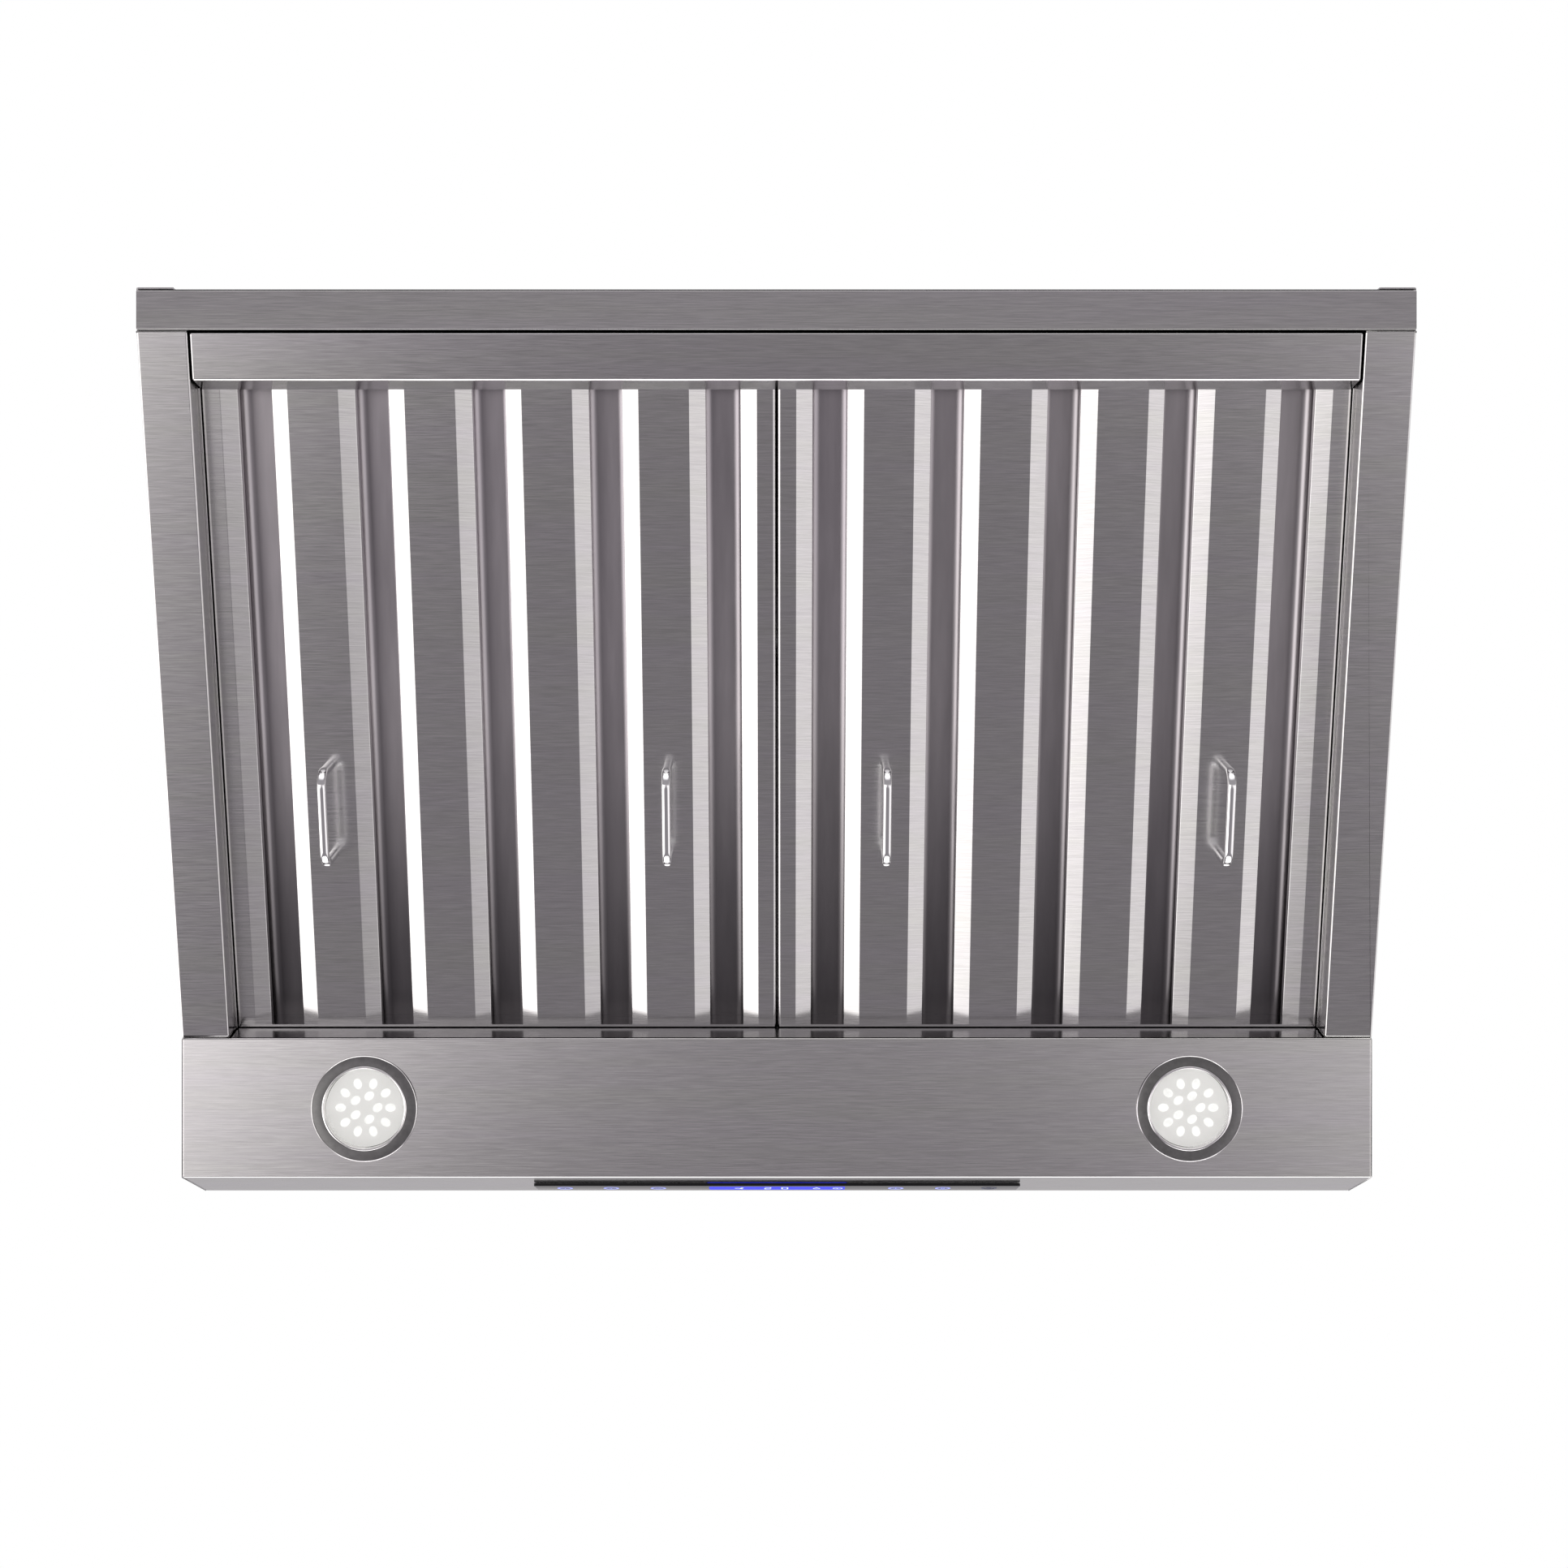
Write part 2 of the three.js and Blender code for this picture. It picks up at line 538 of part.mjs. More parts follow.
// A round wire bent to a U: two legs square to the baffle, and a bar along it.
function handleShape() {
  const half = (HANDLE_LENGTH - HANDLE_WIRE) / 2;
  const low = -HANDLE_REACH + HANDLE_WIRE / 2;
  const at = (y, z) => new THREE.Vector3(0, y, z);
  const path = new THREE.CurvePath();
  path.add(new THREE.LineCurve3(at(-half, -FIT), at(-half, low + HANDLE_BEND)));
  path.add(new THREE.QuadraticBezierCurve3(at(-half, low + HANDLE_BEND), at(-half, low),
    at(-half + HANDLE_BEND, low)));
  path.add(new THREE.LineCurve3(at(-half + HANDLE_BEND, low), at(half - HANDLE_BEND, low)));
  path.add(new THREE.QuadraticBezierCurve3(at(half - HANDLE_BEND, low), at(half, low),
    at(half, low + HANDLE_BEND)));
  path.add(new THREE.LineCurve3(at(half, low + HANDLE_BEND), at(half, -FIT)));
  const section = outline(arc(0, 0, HANDLE_WIRE / 2, 0, 2 * Math.PI, HANDLE_SIDES).slice(1));
  return solid(new THREE.ExtrudeGeometry(section, { steps: HANDLE_STEPS, extrudePath: path }));
}

function filter(name, side) {
  const place = new THREE.Group();
  place.position.set(side * FILTER_CENTRE_X, 0, RECESS);
  slope.add(place);
  const pitch = BAFFLE_FLAT + 2 * BAFFLE_WING + BAFFLE_GAP;
  add(place, `${name}_filter_frame`, filterFrame(), BAFFLE_STEEL);
  for (let i = 0; i < OUTER_BAFFLES; i += 1) {
    const x = (i - (OUTER_BAFFLES - 1) / 2) * pitch;
    add(place, `${name}_outer_baffle_${i + 1}`, outerBaffle(), BAFFLE_STEEL).position.x = x;
    if (i === 0 || i === OUTER_BAFFLES - 1) {
      const number = i === 0 ? 1 : 2;
      add(place, `${name}_handle_${number}`, handleShape(), CHROME).position.set(x, -HANDLE_AT, 0);
    }
  }
  for (let i = 0; i < INNER_BAFFLES; i += 1) {
    const x = (i - (INNER_BAFFLES - 1) / 2) * pitch;
    add(place, `${name}_inner_baffle_${i + 1}`, innerBaffle(), BAFFLE_STEEL).position.x = x;
  }
}

// ---- front partition, which keeps grease off the lamps and controls, and the filter catches ----
function frontPartition() {
  const behind = SLOPE_LENGTH + SHEET + FIT;
  const knee = onSlope(behind, PARTITION_KNEE);
  const line = [
    onSlope(behind, PARTITION_FOOT), knee,
    [knee[0], UNDER_TOP - FIT], [knee[0] - PARTITION_RETURN, UNDER_TOP - FIT],
  ];
  const half = INSIDE_X - PARTITION_CLEAR;
  add(group, 'front_partition', alongX(folded(line, SHEET), -half, half), GALVANISED);
  const top = RECESS + FILTER_HEIGHT;
  for (const [name, side] of [['left', -1], ['right', 1]]) {
    const x = side * FILTER_CENTRE_X;
    add(slope, `${name}_filter_catch`, block(x - CATCH_HALF_WIDTH, x + CATCH_HALF_WIDTH,
      -SLOPE_LENGTH - SHEET, -SLOPE_LENGTH + CATCH_LENGTH, top + CATCH_LOW, top + CATCH_TOP), BLACK_PLASTIC);
  }
}

// ---- blower ----
// The scroll: its radius grows evenly from the tongue round to the outlet, which faces up.
function scrollShape(grow, top) {
  const turns = 28;
  const spiral = Array.from({ length: turns + 1 }, (_, i) => {
    const angle = SCROLL_TONGUE + (2 * Math.PI - SCROLL_TONGUE) * i / turns;
    const radius = SCROLL_START + (SCROLL_END - SCROLL_START) * i / turns + grow;
    return [FAN_Y + radius * Math.cos(angle), FAN_Z + radius * Math.sin(angle)];
  });
  const tongueY = FAN_Y + SCROLL_START * Math.cos(SCROLL_TONGUE) - grow;
  return outline([
    [FAN_Y + SCROLL_END + grow, top], [tongueY, top], [tongueY, spiral[0][1]], ...spiral.slice(1),
  ]);
}

function scroll(name, side) {
  const inside = alongX(scrollShape(0, SCROLL_TOP + CUT_PAST),
    SCROLL_INNER_X + SCROLL_WALL, SCROLL_OUTER_X - SCROLL_WALL);
  const inlet = rodAlongX(INLET_RADIUS, 2 * CUT_PAST, ROUND_SEGMENTS)
    .translate(SCROLL_OUTER_X, FAN_Y, FAN_Z);
  const shaftHole = rodAlongX(2 * SHAFT_RADIUS, 2 * CUT_PAST, HOLE_SEGMENTS)
    .translate(SCROLL_INNER_X, FAN_Y, FAN_Z);
  const mouth = turned([
    [INLET_RADIUS, -SCROLL_WALL / 2], [INLET_RADIUS + INLET_FLANGE, -SCROLL_WALL / 2],
    [INLET_RADIUS + INLET_FLANGE, INLET_RISE], [INLET_RADIUS + INLET_LIP, INLET_RISE],
  ], ROUND_SEGMENTS, ABOUT_X).translate(SCROLL_OUTER_X, FAN_Y, FAN_Z);
  const body = alongX(scrollShape(SCROLL_WALL, SCROLL_TOP), SCROLL_INNER_X, SCROLL_OUTER_X)
    .subtract(inside).subtract(solid(inlet)).subtract(solid(shaftHole)).add(mouth);
  add(group, `${name}_blower_scroll`, side > 0 ? body : body.mirror([1, 0, 0]), GALVANISED);
}

// A squirrel cage wheel: a back plate with a hub, leaned blades and an end ring.
function fanWheel(name, side) {
  const bore = SHAFT_RADIUS + FIT;
  const width = WHEEL_OUTER_X - WHEEL_INNER_X;
  const bladeLength = width - WHEEL_RIM_DEPTH;
  const bladeAt = WHEEL_RADIUS - BLADE_CHORD / 2 - BLADE_THICK;
  const rim = ringProfile(WHEEL_RADIUS - WHEEL_RIM, WHEEL_RADIUS, width - WHEEL_RIM_DEPTH, width);
  let wheel = turned([
    [bore, 0], [WHEEL_RADIUS, 0], [WHEEL_RADIUS, WHEEL_PLATE],
    [HUB_RADIUS, WHEEL_PLATE], [HUB_RADIUS, HUB_LENGTH], [bore, HUB_LENGTH],
  ], ROUND_SEGMENTS, ABOUT_X).add(turned(rim, ROUND_SEGMENTS, ABOUT_X));
  for (let i = 0; i < WHEEL_BLADES; i += 1) {
    const blade = new THREE.BoxGeometry(bladeLength, BLADE_CHORD, BLADE_THICK)
      .translate(bladeLength / 2 + WHEEL_PLATE / 2, 0, 0).rotateX(BLADE_LEAN)
      .translate(0, bladeAt, 0).rotateX(2 * Math.PI * i / WHEEL_BLADES);
    wheel = wheel.add(solid(blade));
  }
  wheel = wheel.translate(WHEEL_INNER_X, FAN_Y, FAN_Z);
  add(group, `${name}_fan_wheel`, side > 0 ? wheel : wheel.mirror([1, 0, 0]), WHEEL_WHITE);
}

// The motor hangs in a hoop between the scrolls, and its shaft carries both wheels.
function blowerDrive() {
  const bore = SHAFT_RADIUS + 2 * FIT;
  const half = [
    [bore, MOTOR_BOSS_END], [MOTOR_BOSS_RADIUS, MOTOR_BOSS_END],
    [MOTOR_BOSS_FOOT_RADIUS, MOTOR_BOSS_FOOT], [MOTOR_CAP_RADIUS, MOTOR_CAP_EDGE],
    [MOTOR_RADIUS, MOTOR_BARREL],
  ];
  const otherHalf = half.map(([radius, x]) => [radius, -x]).reverse();
  const motor = turned([...half, ...otherHalf].reverse(), ROUND_SEGMENTS, ABOUT_X);
  add(group, 'blower_motor', motor.translate(0, FAN_Y, FAN_Z), MOTOR_GREY);
  const shaft = rodAlongX(SHAFT_RADIUS, 2 * (WHEEL_OUTER_X - SHAFT_END), HOLE_SEGMENTS);
  add(group, 'fan_shaft', solid(shaft.translate(0, FAN_Y, FAN_Z)), CHROME);
  const hoopInner = MOTOR_RADIUS + HOOP_GAP;
  const leg = (at, foot) => block(-HOOP_HALF_WIDTH, HOOP_HALF_WIDTH,
    FAN_Y + at, FAN_Y + at + HOOP_THICK, FAN_Z + foot, SCROLL_TOP - HOOP_THICK / 2);
  const hoop = turned(ringProfile(hoopInner, hoopInner + HOOP_THICK, -HOOP_HALF_WIDTH, HOOP_HALF_WIDTH),
    ROUND_SEGMENTS, ABOUT_X);
  const bracket = hoop.translate(0, FAN_Y, FAN_Z)
    .add(block(-HANGER_HALF_WIDTH, HANGER_HALF_WIDTH,
      FAN_Y - HANGER_FRONT, FAN_Y + HANGER_REAR, SCROLL_TOP - HOOP_THICK, SCROLL_TOP))
    .add(leg(FRONT_LEG_AT, FRONT_LEG_FOOT)).add(leg(REAR_LEG_AT, REAR_LEG_FOOT));
  add(group, 'motor_bracket', bracket, GALVANISED);
}

// A box over both scrolls, open to the duct above and to each scroll below.
function outletPlenum() {
  const floor = SCROLL_TOP + FIT;
  const outletFront = FAN_Y + SCROLL_START * Math.cos(SCROLL_TONGUE);
  const insideHalf = PLENUM_HALF_X - SHEET;
  let box = block(-PLENUM_HALF_X, PLENUM_HALF_X, PLENUM_FRONT, PLENUM_REAR, floor, UNDER_TOP)
    .subtract(block(-insideHalf, insideHalf,
      PLENUM_FRONT + SHEET, PLENUM_REAR - SHEET, floor + SHEET, CUT_PAST));
  for (const side of [-1, 1]) {
    box = box.subtract(block(side * (SCROLL_INNER_X + SCROLL_WALL), side * (SCROLL_OUTER_X - SCROLL_WALL),
      outletFront, FAN_Y + SCROLL_END, floor - CUT_PAST, floor + CUT_PAST));
  }
  add(group, 'outlet_plenum', box, GALVANISED);
}

// ---- duct collar, with the pin that its two damper flaps turn on ----
function ductOutlet() {
  const ring = turned([
    [DUCT_BORE, FIT], [DUCT_RADIUS + DUCT_FLANGE, FIT], [DUCT_RADIUS + DUCT_FLANGE, FIT + SHEET],
    [DUCT_RADIUS, FIT + SHEET], [DUCT_RADIUS, DUCT_HEIGHT], [DUCT_BORE, DUCT_HEIGHT],
  ], ROUND_SEGMENTS);
  const pin = rodAlongX(DAMPER_PIN_RADIUS, 2 * DUCT_BORE + SHEET, HOLE_SEGMENTS).translate(0, 0, DAMPER_Z);
  add(group, 'duct_collar', ring.add(solid(pin)).translate(0, DUCT_Y, 0), GALVANISED);
  const reach = DUCT_BORE - DAMPER_GAP;
  const start = Math.asin(DAMPER_PIN_GAP / reach);
  const half = outline(arc(0, 0, reach, start, Math.PI - start, HOLE_SEGMENTS));
  for (const [name, side] of [['front', -1], ['rear', 1]]) {
    const flap = extrude(half, DAMPER_SHEET).translate(0, 0, -DAMPER_SHEET / 2);
    if (side < 0) flap.rotateZ(Math.PI);
    add(group, `${name}_damper_flap`, solid(flap.translate(0, DUCT_Y, DAMPER_Z)), GALVANISED);
  }
}

// ---- electrical parts ----
function electrics() {
  const [left, right] = [CABLE_X - JUNCTION_HALF, CABLE_X + JUNCTION_HALF];
  const [front, rear] = [CABLE_Y - JUNCTION_FRONT, CABLE_Y + JUNCTION_REAR];
  const hole = rodAlongZ(CABLE_HOLE, 4 * CUT_PAST, HOLE_SEGMENTS).translate(CABLE_X, CABLE_Y, 0);
  const box = block(left, right, front, rear, -JUNCTION_DEPTH, UNDER_TOP)
    .subtract(block(left + SHEET, right - SHEET, front + SHEET, rear - SHEET,
      -JUNCTION_DEPTH - CUT_PAST, UNDER_TOP - SHEET))
    .subtract(solid(hole));
  add(group, 'junction_box', box, GALVANISED);
  const coverTop = -JUNCTION_DEPTH - FIT;
  const lipFront = front - FIT - SHEET;
  const cover = block(left, right, lipFront, rear, coverTop - SHEET, coverTop)
    .add(block(left, right, lipFront, front - FIT, coverTop - SHEET, COVER_LIP_Z));
  add(group, 'junction_box_cover', cover, GALVANISED);
  const neck = CABLE_HOLE - 2 * FIT;
  const bushing = turned([
    [BUSHING_BORE, BUSHING_FOOT], [neck, BUSHING_FOOT], [neck, FIT], [neck + BUSHING_COLLAR, FIT],
    [neck + BUSHING_COLLAR - 1, BUSHING_TOP], [BUSHING_BORE, BUSHING_TOP],
  ], HOLE_SEGMENTS);
  add(group, 'cable_bushing', bushing.translate(CABLE_X, CABLE_Y, 0), BLACK_PLASTIC);
  const can = rodAlongX(CAPACITOR_RADIUS, CAPACITOR_LENGTH, HOLE_SEGMENTS);
  add(group, 'run_capacitor', solid(can.translate(...CAPACITOR_AT)), WHEEL_WHITE);
}

slope.updateMatrix();
topPanel();
backPanel();
sidePanel('left_side_panel', -1);
sidePanel('right_side_panel', 1);
rearBar();
frontPanel();
controls();
lamp('left', -1);
lamp('right', 1);
greaseTray();
filter('left', -1);
filter('right', 1);
frontPartition();
scroll('left', -1);
scroll('right', 1);
fanWheel('left', -1);
fanWheel('right', 1);
blowerDrive();
outletPlenum();
ductOutlet();
electrics();

export default group;
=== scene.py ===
"""Under cabinet range hood: the looks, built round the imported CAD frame.

Metres, in the frame's own axes: +Z up, +Y to the wall, -Y to the front. Sizes of folded sheet and
small parts are given in millimetres and turned into metres where they are used.
"""
import json

import bmesh
import bpy
import numpy as np
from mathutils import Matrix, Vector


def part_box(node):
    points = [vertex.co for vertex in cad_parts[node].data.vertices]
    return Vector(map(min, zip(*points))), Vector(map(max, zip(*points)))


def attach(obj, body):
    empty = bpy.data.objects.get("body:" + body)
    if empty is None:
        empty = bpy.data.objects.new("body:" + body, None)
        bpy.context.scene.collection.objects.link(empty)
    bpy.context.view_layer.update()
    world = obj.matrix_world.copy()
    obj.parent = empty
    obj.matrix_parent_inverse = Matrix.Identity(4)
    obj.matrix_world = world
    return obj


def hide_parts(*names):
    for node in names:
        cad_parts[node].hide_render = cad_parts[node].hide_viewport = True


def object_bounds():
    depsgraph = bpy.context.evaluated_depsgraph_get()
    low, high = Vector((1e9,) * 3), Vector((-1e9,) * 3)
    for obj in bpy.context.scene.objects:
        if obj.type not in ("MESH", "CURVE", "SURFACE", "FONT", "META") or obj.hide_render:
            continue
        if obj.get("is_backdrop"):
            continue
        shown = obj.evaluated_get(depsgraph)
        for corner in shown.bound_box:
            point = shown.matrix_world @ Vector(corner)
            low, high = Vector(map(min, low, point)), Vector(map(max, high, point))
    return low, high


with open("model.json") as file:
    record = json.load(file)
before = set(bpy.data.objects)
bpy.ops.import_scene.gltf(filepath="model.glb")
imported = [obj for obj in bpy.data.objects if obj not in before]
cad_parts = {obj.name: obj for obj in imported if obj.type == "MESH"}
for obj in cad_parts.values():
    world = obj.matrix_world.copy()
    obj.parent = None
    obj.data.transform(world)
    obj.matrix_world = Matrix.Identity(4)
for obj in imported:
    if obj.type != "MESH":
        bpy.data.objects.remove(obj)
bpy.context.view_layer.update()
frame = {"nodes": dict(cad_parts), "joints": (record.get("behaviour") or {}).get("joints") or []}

# ---------------------------------------------------------------------------------------------
# Studio: a camera that looks straight up at the underside, a pale floor well below it, and a
# light tent. The tent is dim straight below and has a wide bright wall on either side.
# ---------------------------------------------------------------------------------------------
scene = bpy.context.scene
scene.view_settings.view_transform = "Standard"
scene.view_settings.look = "None"

camera_data = bpy.data.cameras.new("camera")
camera_data.lens = 50.0
camera_data.sensor_width = 36.0
camera_data.clip_start = 0.05
camera = bpy.data.objects.new("camera", camera_data)
camera.location = (-0.0045, -0.0122, -1.5105)
camera.rotation_euler = (0.0, np.pi, 0.0)
scene.collection.objects.link(camera)
scene.camera = camera

world = bpy.data.worlds.new("light_tent")
scene.world = world
world.use_nodes = True
world.node_tree.nodes.clear()
tent = world.node_tree.nodes
tent_links = world.node_tree.links


def worked(operation, *values):
    """One step of arithmetic in the tent, on sockets or plain numbers."""
    step = tent.new("ShaderNodeMath")
    step.operation = operation
    for socket, value in zip(step.inputs, values):
        if isinstance(value, float):
            socket.default_value = value
        else:
            tent_links.new(value, socket)
    return step.outputs["Value"]


def soft_edge(value, start, end, first=0.0, last=1.0):
    """Goes smoothly from the first number to the last while the value goes from start to end."""
    step = tent.new("ShaderNodeMapRange")
    step.interpolation_type = "SMOOTHSTEP"
    step.inputs["From Min"].default_value = start
    step.inputs["From Max"].default_value = end
    step.inputs["To Min"].default_value = first
    step.inputs["To Max"].default_value = last
    tent_links.new(value, step.inputs["Value"])
    return step.outputs["Result"]


def glow(colour, strength):
    """Light of one colour all round, at a strength that is a number or follows the direction."""
    light = tent.new("ShaderNodeBackground")
    light.inputs["Color"].default_value = (*colour, 1.0)
    if isinstance(strength, float):
        light.inputs["Strength"].default_value = strength
    else:
        tent_links.new(strength, light.inputs["Strength"])
    return light.outputs["Background"]


def together(first, second):
    """Both lights at once."""
    both = tent.new("ShaderNodeAddShader")
    tent_links.new(first, both.inputs[0])
    tent_links.new(second, both.inputs[1])
    return both.outputs["Shader"]


# A direction is told by its height, by how far forward it goes against all its other travel, and
# by how far across it goes for each metre down. The side walls are soft-edged and lean away from
# the hood's front, fast up to a knee and slower past it. A bright strip stands at the front
# horizon, a glow lies below the rear one, and the tent's floor is darker towards the front.
LEAST_FALL = 0.04
LEAN_KNEE, NEAR_LEAN, FAR_LEAN = 0.33, 0.8, 0.45
WALL_EDGE = (-0.05, 0.44)
REACH_FRONT, REACH_BACK, REACH_UP = (0.56, 0.86), (-0.16, 0.06), (0.3, 0.8)
RIGHT_WALL, LEFT_WALL = 2.0, 0.88
STRIP_FRONT, STRIP_UP, STRIP = (1.1, 1.6), (0.3, 0.6), 2.5
REAR_BACK, REAR_UP, REAR = (-1.1, -0.55), (-0.25, 0.05), 0.9
FLOOR_FRONT, FLOOR_GLOW = (0.10, 0.30), 0.085
SKY_UP, SKY = (-0.1, 0.7), 0.27
ALL_ROUND = 0.27
direction = tent.new("ShaderNodeTexCoord")
parts = tent.new("ShaderNodeSeparateXYZ")
tent_links.new(direction.outputs["Generated"], parts.inputs["Vector"])
height = parts.outputs["Z"]
ahead = worked("MULTIPLY", parts.outputs["Y"], -1.0)
down = worked("MAXIMUM", worked("MULTIPLY", height, -1.0), LEAST_FALL)
level = worked("SQRT", worked("SUBTRACT", 1.0001, worked("MULTIPLY", ahead, ahead)))
forward = worked("DIVIDE", ahead, level)
across = worked("DIVIDE", parts.outputs["X"], down)
near_lean = worked("MULTIPLY", worked("MINIMUM", forward, LEAN_KNEE), NEAR_LEAN)
past_knee = worked("MAXIMUM", worked("SUBTRACT", forward, LEAN_KNEE), 0.0)
lean = worked("ADD", near_lean, worked("MULTIPLY", past_knee, FAR_LEAN))
reach = worked("MULTIPLY", soft_edge(forward, *REACH_FRONT, 1.0, 0.0), soft_edge(forward, *REACH_BACK))
reach = worked("MULTIPLY", reach, soft_edge(height, *REACH_UP, 1.0, 0.0))
right_wall = soft_edge(worked("SUBTRACT", across, lean), *WALL_EDGE)
left_wall = soft_edge(worked("SUBTRACT", worked("MULTIPLY", across, -1.0), lean), *WALL_EDGE)
strip = worked("MULTIPLY", soft_edge(forward, *STRIP_FRONT), soft_edge(height, *STRIP_UP, 1.0, 0.0))
rear_glow = worked("MULTIPLY", soft_edge(forward, *REAR_BACK, REAR, 0.0),
                   soft_edge(height, *REAR_UP, 1.0, 0.0))
tent_light = glow((1.0, 0.94, 1.0), ALL_ROUND)
for colour, strength in (
        ((1.0, 0.965, 0.98), soft_edge(forward, *FLOOR_FRONT, FLOOR_GLOW, 0.0)),
        ((1.0, 0.975, 0.955), worked("MULTIPLY", worked("MULTIPLY", right_wall, reach), RIGHT_WALL)),
        ((1.0, 0.975, 0.965), worked("MULTIPLY", worked("MULTIPLY", left_wall, reach), LEFT_WALL)),
        ((1.0, 0.99, 0.98), worked("MULTIPLY", strip, STRIP)),
        ((1.0, 0.99, 0.99), rear_glow),
        ((1.0, 1.0, 1.0), soft_edge(height, *SKY_UP, 0.0, SKY))):
    tent_light = together(tent_light, glow(colour, strength))
rays = tent.new("ShaderNodeLightPath")
either = tent.new("ShaderNodeMixShader")
world_out = tent.new("ShaderNodeOutputWorld")
tent_links.new(rays.outputs["Is Camera Ray"], either.inputs["Fac"])
tent_links.new(tent_light, either.inputs[1])
tent_links.new(glow((1.0, 1.0, 1.0), 1.0), either.inputs[2])
tent_links.new(either.outputs["Shader"], world_out.inputs["Surface"])

FLOOR_Z = -2.4
FLOOR_HALF = 6.0
floor_mesh = bpy.data.meshes.new("floor")
floor_corners = [(-FLOOR_HALF, -FLOOR_HALF, FLOOR_Z), (FLOOR_HALF, -FLOOR_HALF, FLOOR_Z),
                 (FLOOR_HALF, FLOOR_HALF, FLOOR_Z), (-FLOOR_HALF, FLOOR_HALF, FLOOR_Z)]
floor_mesh.from_pydata(floor_corners, [], [(0, 1, 2, 3)])
floor = bpy.data.objects.new("floor", floor_mesh)
floor.visible_glossy = False
scene.collection.objects.link(floor)
floor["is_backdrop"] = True
floor_paint = bpy.data.materials.new("floor_paint")
floor_paint.use_nodes = True
floor_paint.node_tree.nodes["Principled BSDF"].inputs["Base Color"].default_value = (0.85, 0.85, 0.85, 1)
floor_paint.node_tree.nodes["Principled BSDF"].inputs["Roughness"].default_value = 0.8
floor_mesh.materials.append(floor_paint)

# ---------------------------------------------------------------------------------------------
# Side panels: 1 mm stainless sheet, folded under into a 30 mm flange and up again beside the
# filters. The folds are rounded, and the whole sheet is brushed crosswise.
# ---------------------------------------------------------------------------------------------
MM = 0.001
FLAT_WITHIN = np.radians(1.0)    # faces that turn less than this are one face
SAME_PLACE = 2e-5                # corners closer than this are one corner
LEAST_FOLD = 0.12                # radians, below which an edge isn't rounded
FOLD_STEPS = 4


def shader(name):
    """A new material, its Principled shader, its nodes and its links."""
    material = bpy.data.materials.new(name)
    material.use_nodes = True
    nodes = material.node_tree.nodes
    return material, nodes["Principled BSDF"], nodes, material.node_tree.links


def streaks(nodes, links, turn, stretch, detail=4.0):
    """Noise drawn out into fine lines: object coordinates turned about X, then squeezed on two axes."""
    where = nodes.new("ShaderNodeTexCoord")
    mapping = nodes.new("ShaderNodeMapping")
    mapping.inputs["Rotation"].default_value = (turn, 0.0, 0.0)
    mapping.inputs["Scale"].default_value = stretch
    noise = nodes.new("ShaderNodeTexNoise")
    noise.inputs["Scale"].default_value = 1.0
    noise.inputs["Detail"].default_value = detail
    noise.inputs["Roughness"].default_value = 0.62
    links.new(where.outputs["Object"], mapping.inputs["Vector"])
    links.new(mapping.outputs["Vector"], noise.inputs["Vector"])
    return noise.outputs["Fac"]


def blended(nodes, links, factor, low, high):
    """A colour between two, by a factor."""
    ramp = nodes.new("ShaderNodeValToRGB")
    ramp.color_ramp.elements[0].position = 0.3
    ramp.color_ramp.elements[0].color = (*low, 1.0)
    ramp.color_ramp.elements[1].position = 0.7
    ramp.color_ramp.elements[1].color = (*high, 1.0)
    links.new(factor, ramp.inputs["Fac"])
    return ramp.outputs["Color"]


def ranged(nodes, links, factor, low, high):
    """A number between two, by a factor."""
    spread = nodes.new("ShaderNodeMapRange")
    spread.inputs["From Min"].default_value = 0.3
    spread.inputs["From Max"].default_value = 0.7
    spread.inputs["To Min"].default_value = low
    spread.inputs["To Max"].default_value = high
    links.new(factor, spread.inputs["Value"])
    return spread.outputs["Result"]


def multiplied(nodes, links, first, second):
    """The product of two colours."""
    mixed = nodes.new("ShaderNodeMix")
    mixed.data_type = "RGBA"
    mixed.blend_type = "MULTIPLY"
    mixed.inputs["Factor"].default_value = 1.0
    links.new(first, mixed.inputs[6])
    links.new(second, mixed.inputs[7])
    return mixed.outputs[2]


def bumped(nodes, links, pattern, strength, depth, surface):
    """Gives a surface fine relief that follows a pattern."""
    bump = nodes.new("ShaderNodeBump")
    bump.inputs["Strength"].default_value = strength
    bump.inputs["Distance"].default_value = depth
    links.new(pattern, bump.inputs["Height"])
    links.new(bump.outputs["Normal"], surface.inputs["Normal"])


def brushed_steel(name, tone=0.6, rough=0.18, turn=0.0, stretch=(55.0, 1900.0, 1900.0), relief=0.008,
                  hue=(1.0, 1.0, 1.0)):
    """Stainless sheet with a brushed grain: fine lines in its colour, roughness and relief, over a
    slow drift between a warmer and a cooler grey."""
    material, steel, nodes, links = shader(name)
    grain = streaks(nodes, links, turn, stretch)
    drift = streaks(nodes, links, turn, tuple(0.03 * scale + 1.5 for scale in stretch), 2.0)
    dark, light = (tuple(tone * lift * part for part in hue) for lift in (0.87, 1.12))
    shade = blended(nodes, links, grain, dark, light)
    tint = blended(nodes, links, drift, (1.0, 0.975, 1.0), (0.99, 0.985, 0.965))
    links.new(multiplied(nodes, links, shade, tint), steel.inputs["Base Color"])
    links.new(ranged(nodes, links, grain, rough - 0.02, rough + 0.025), steel.inputs["Roughness"])
    bumped(nodes, links, grain, relief, 0.0004, steel)
    steel.inputs["Metallic"].default_value = 1.0
    return material


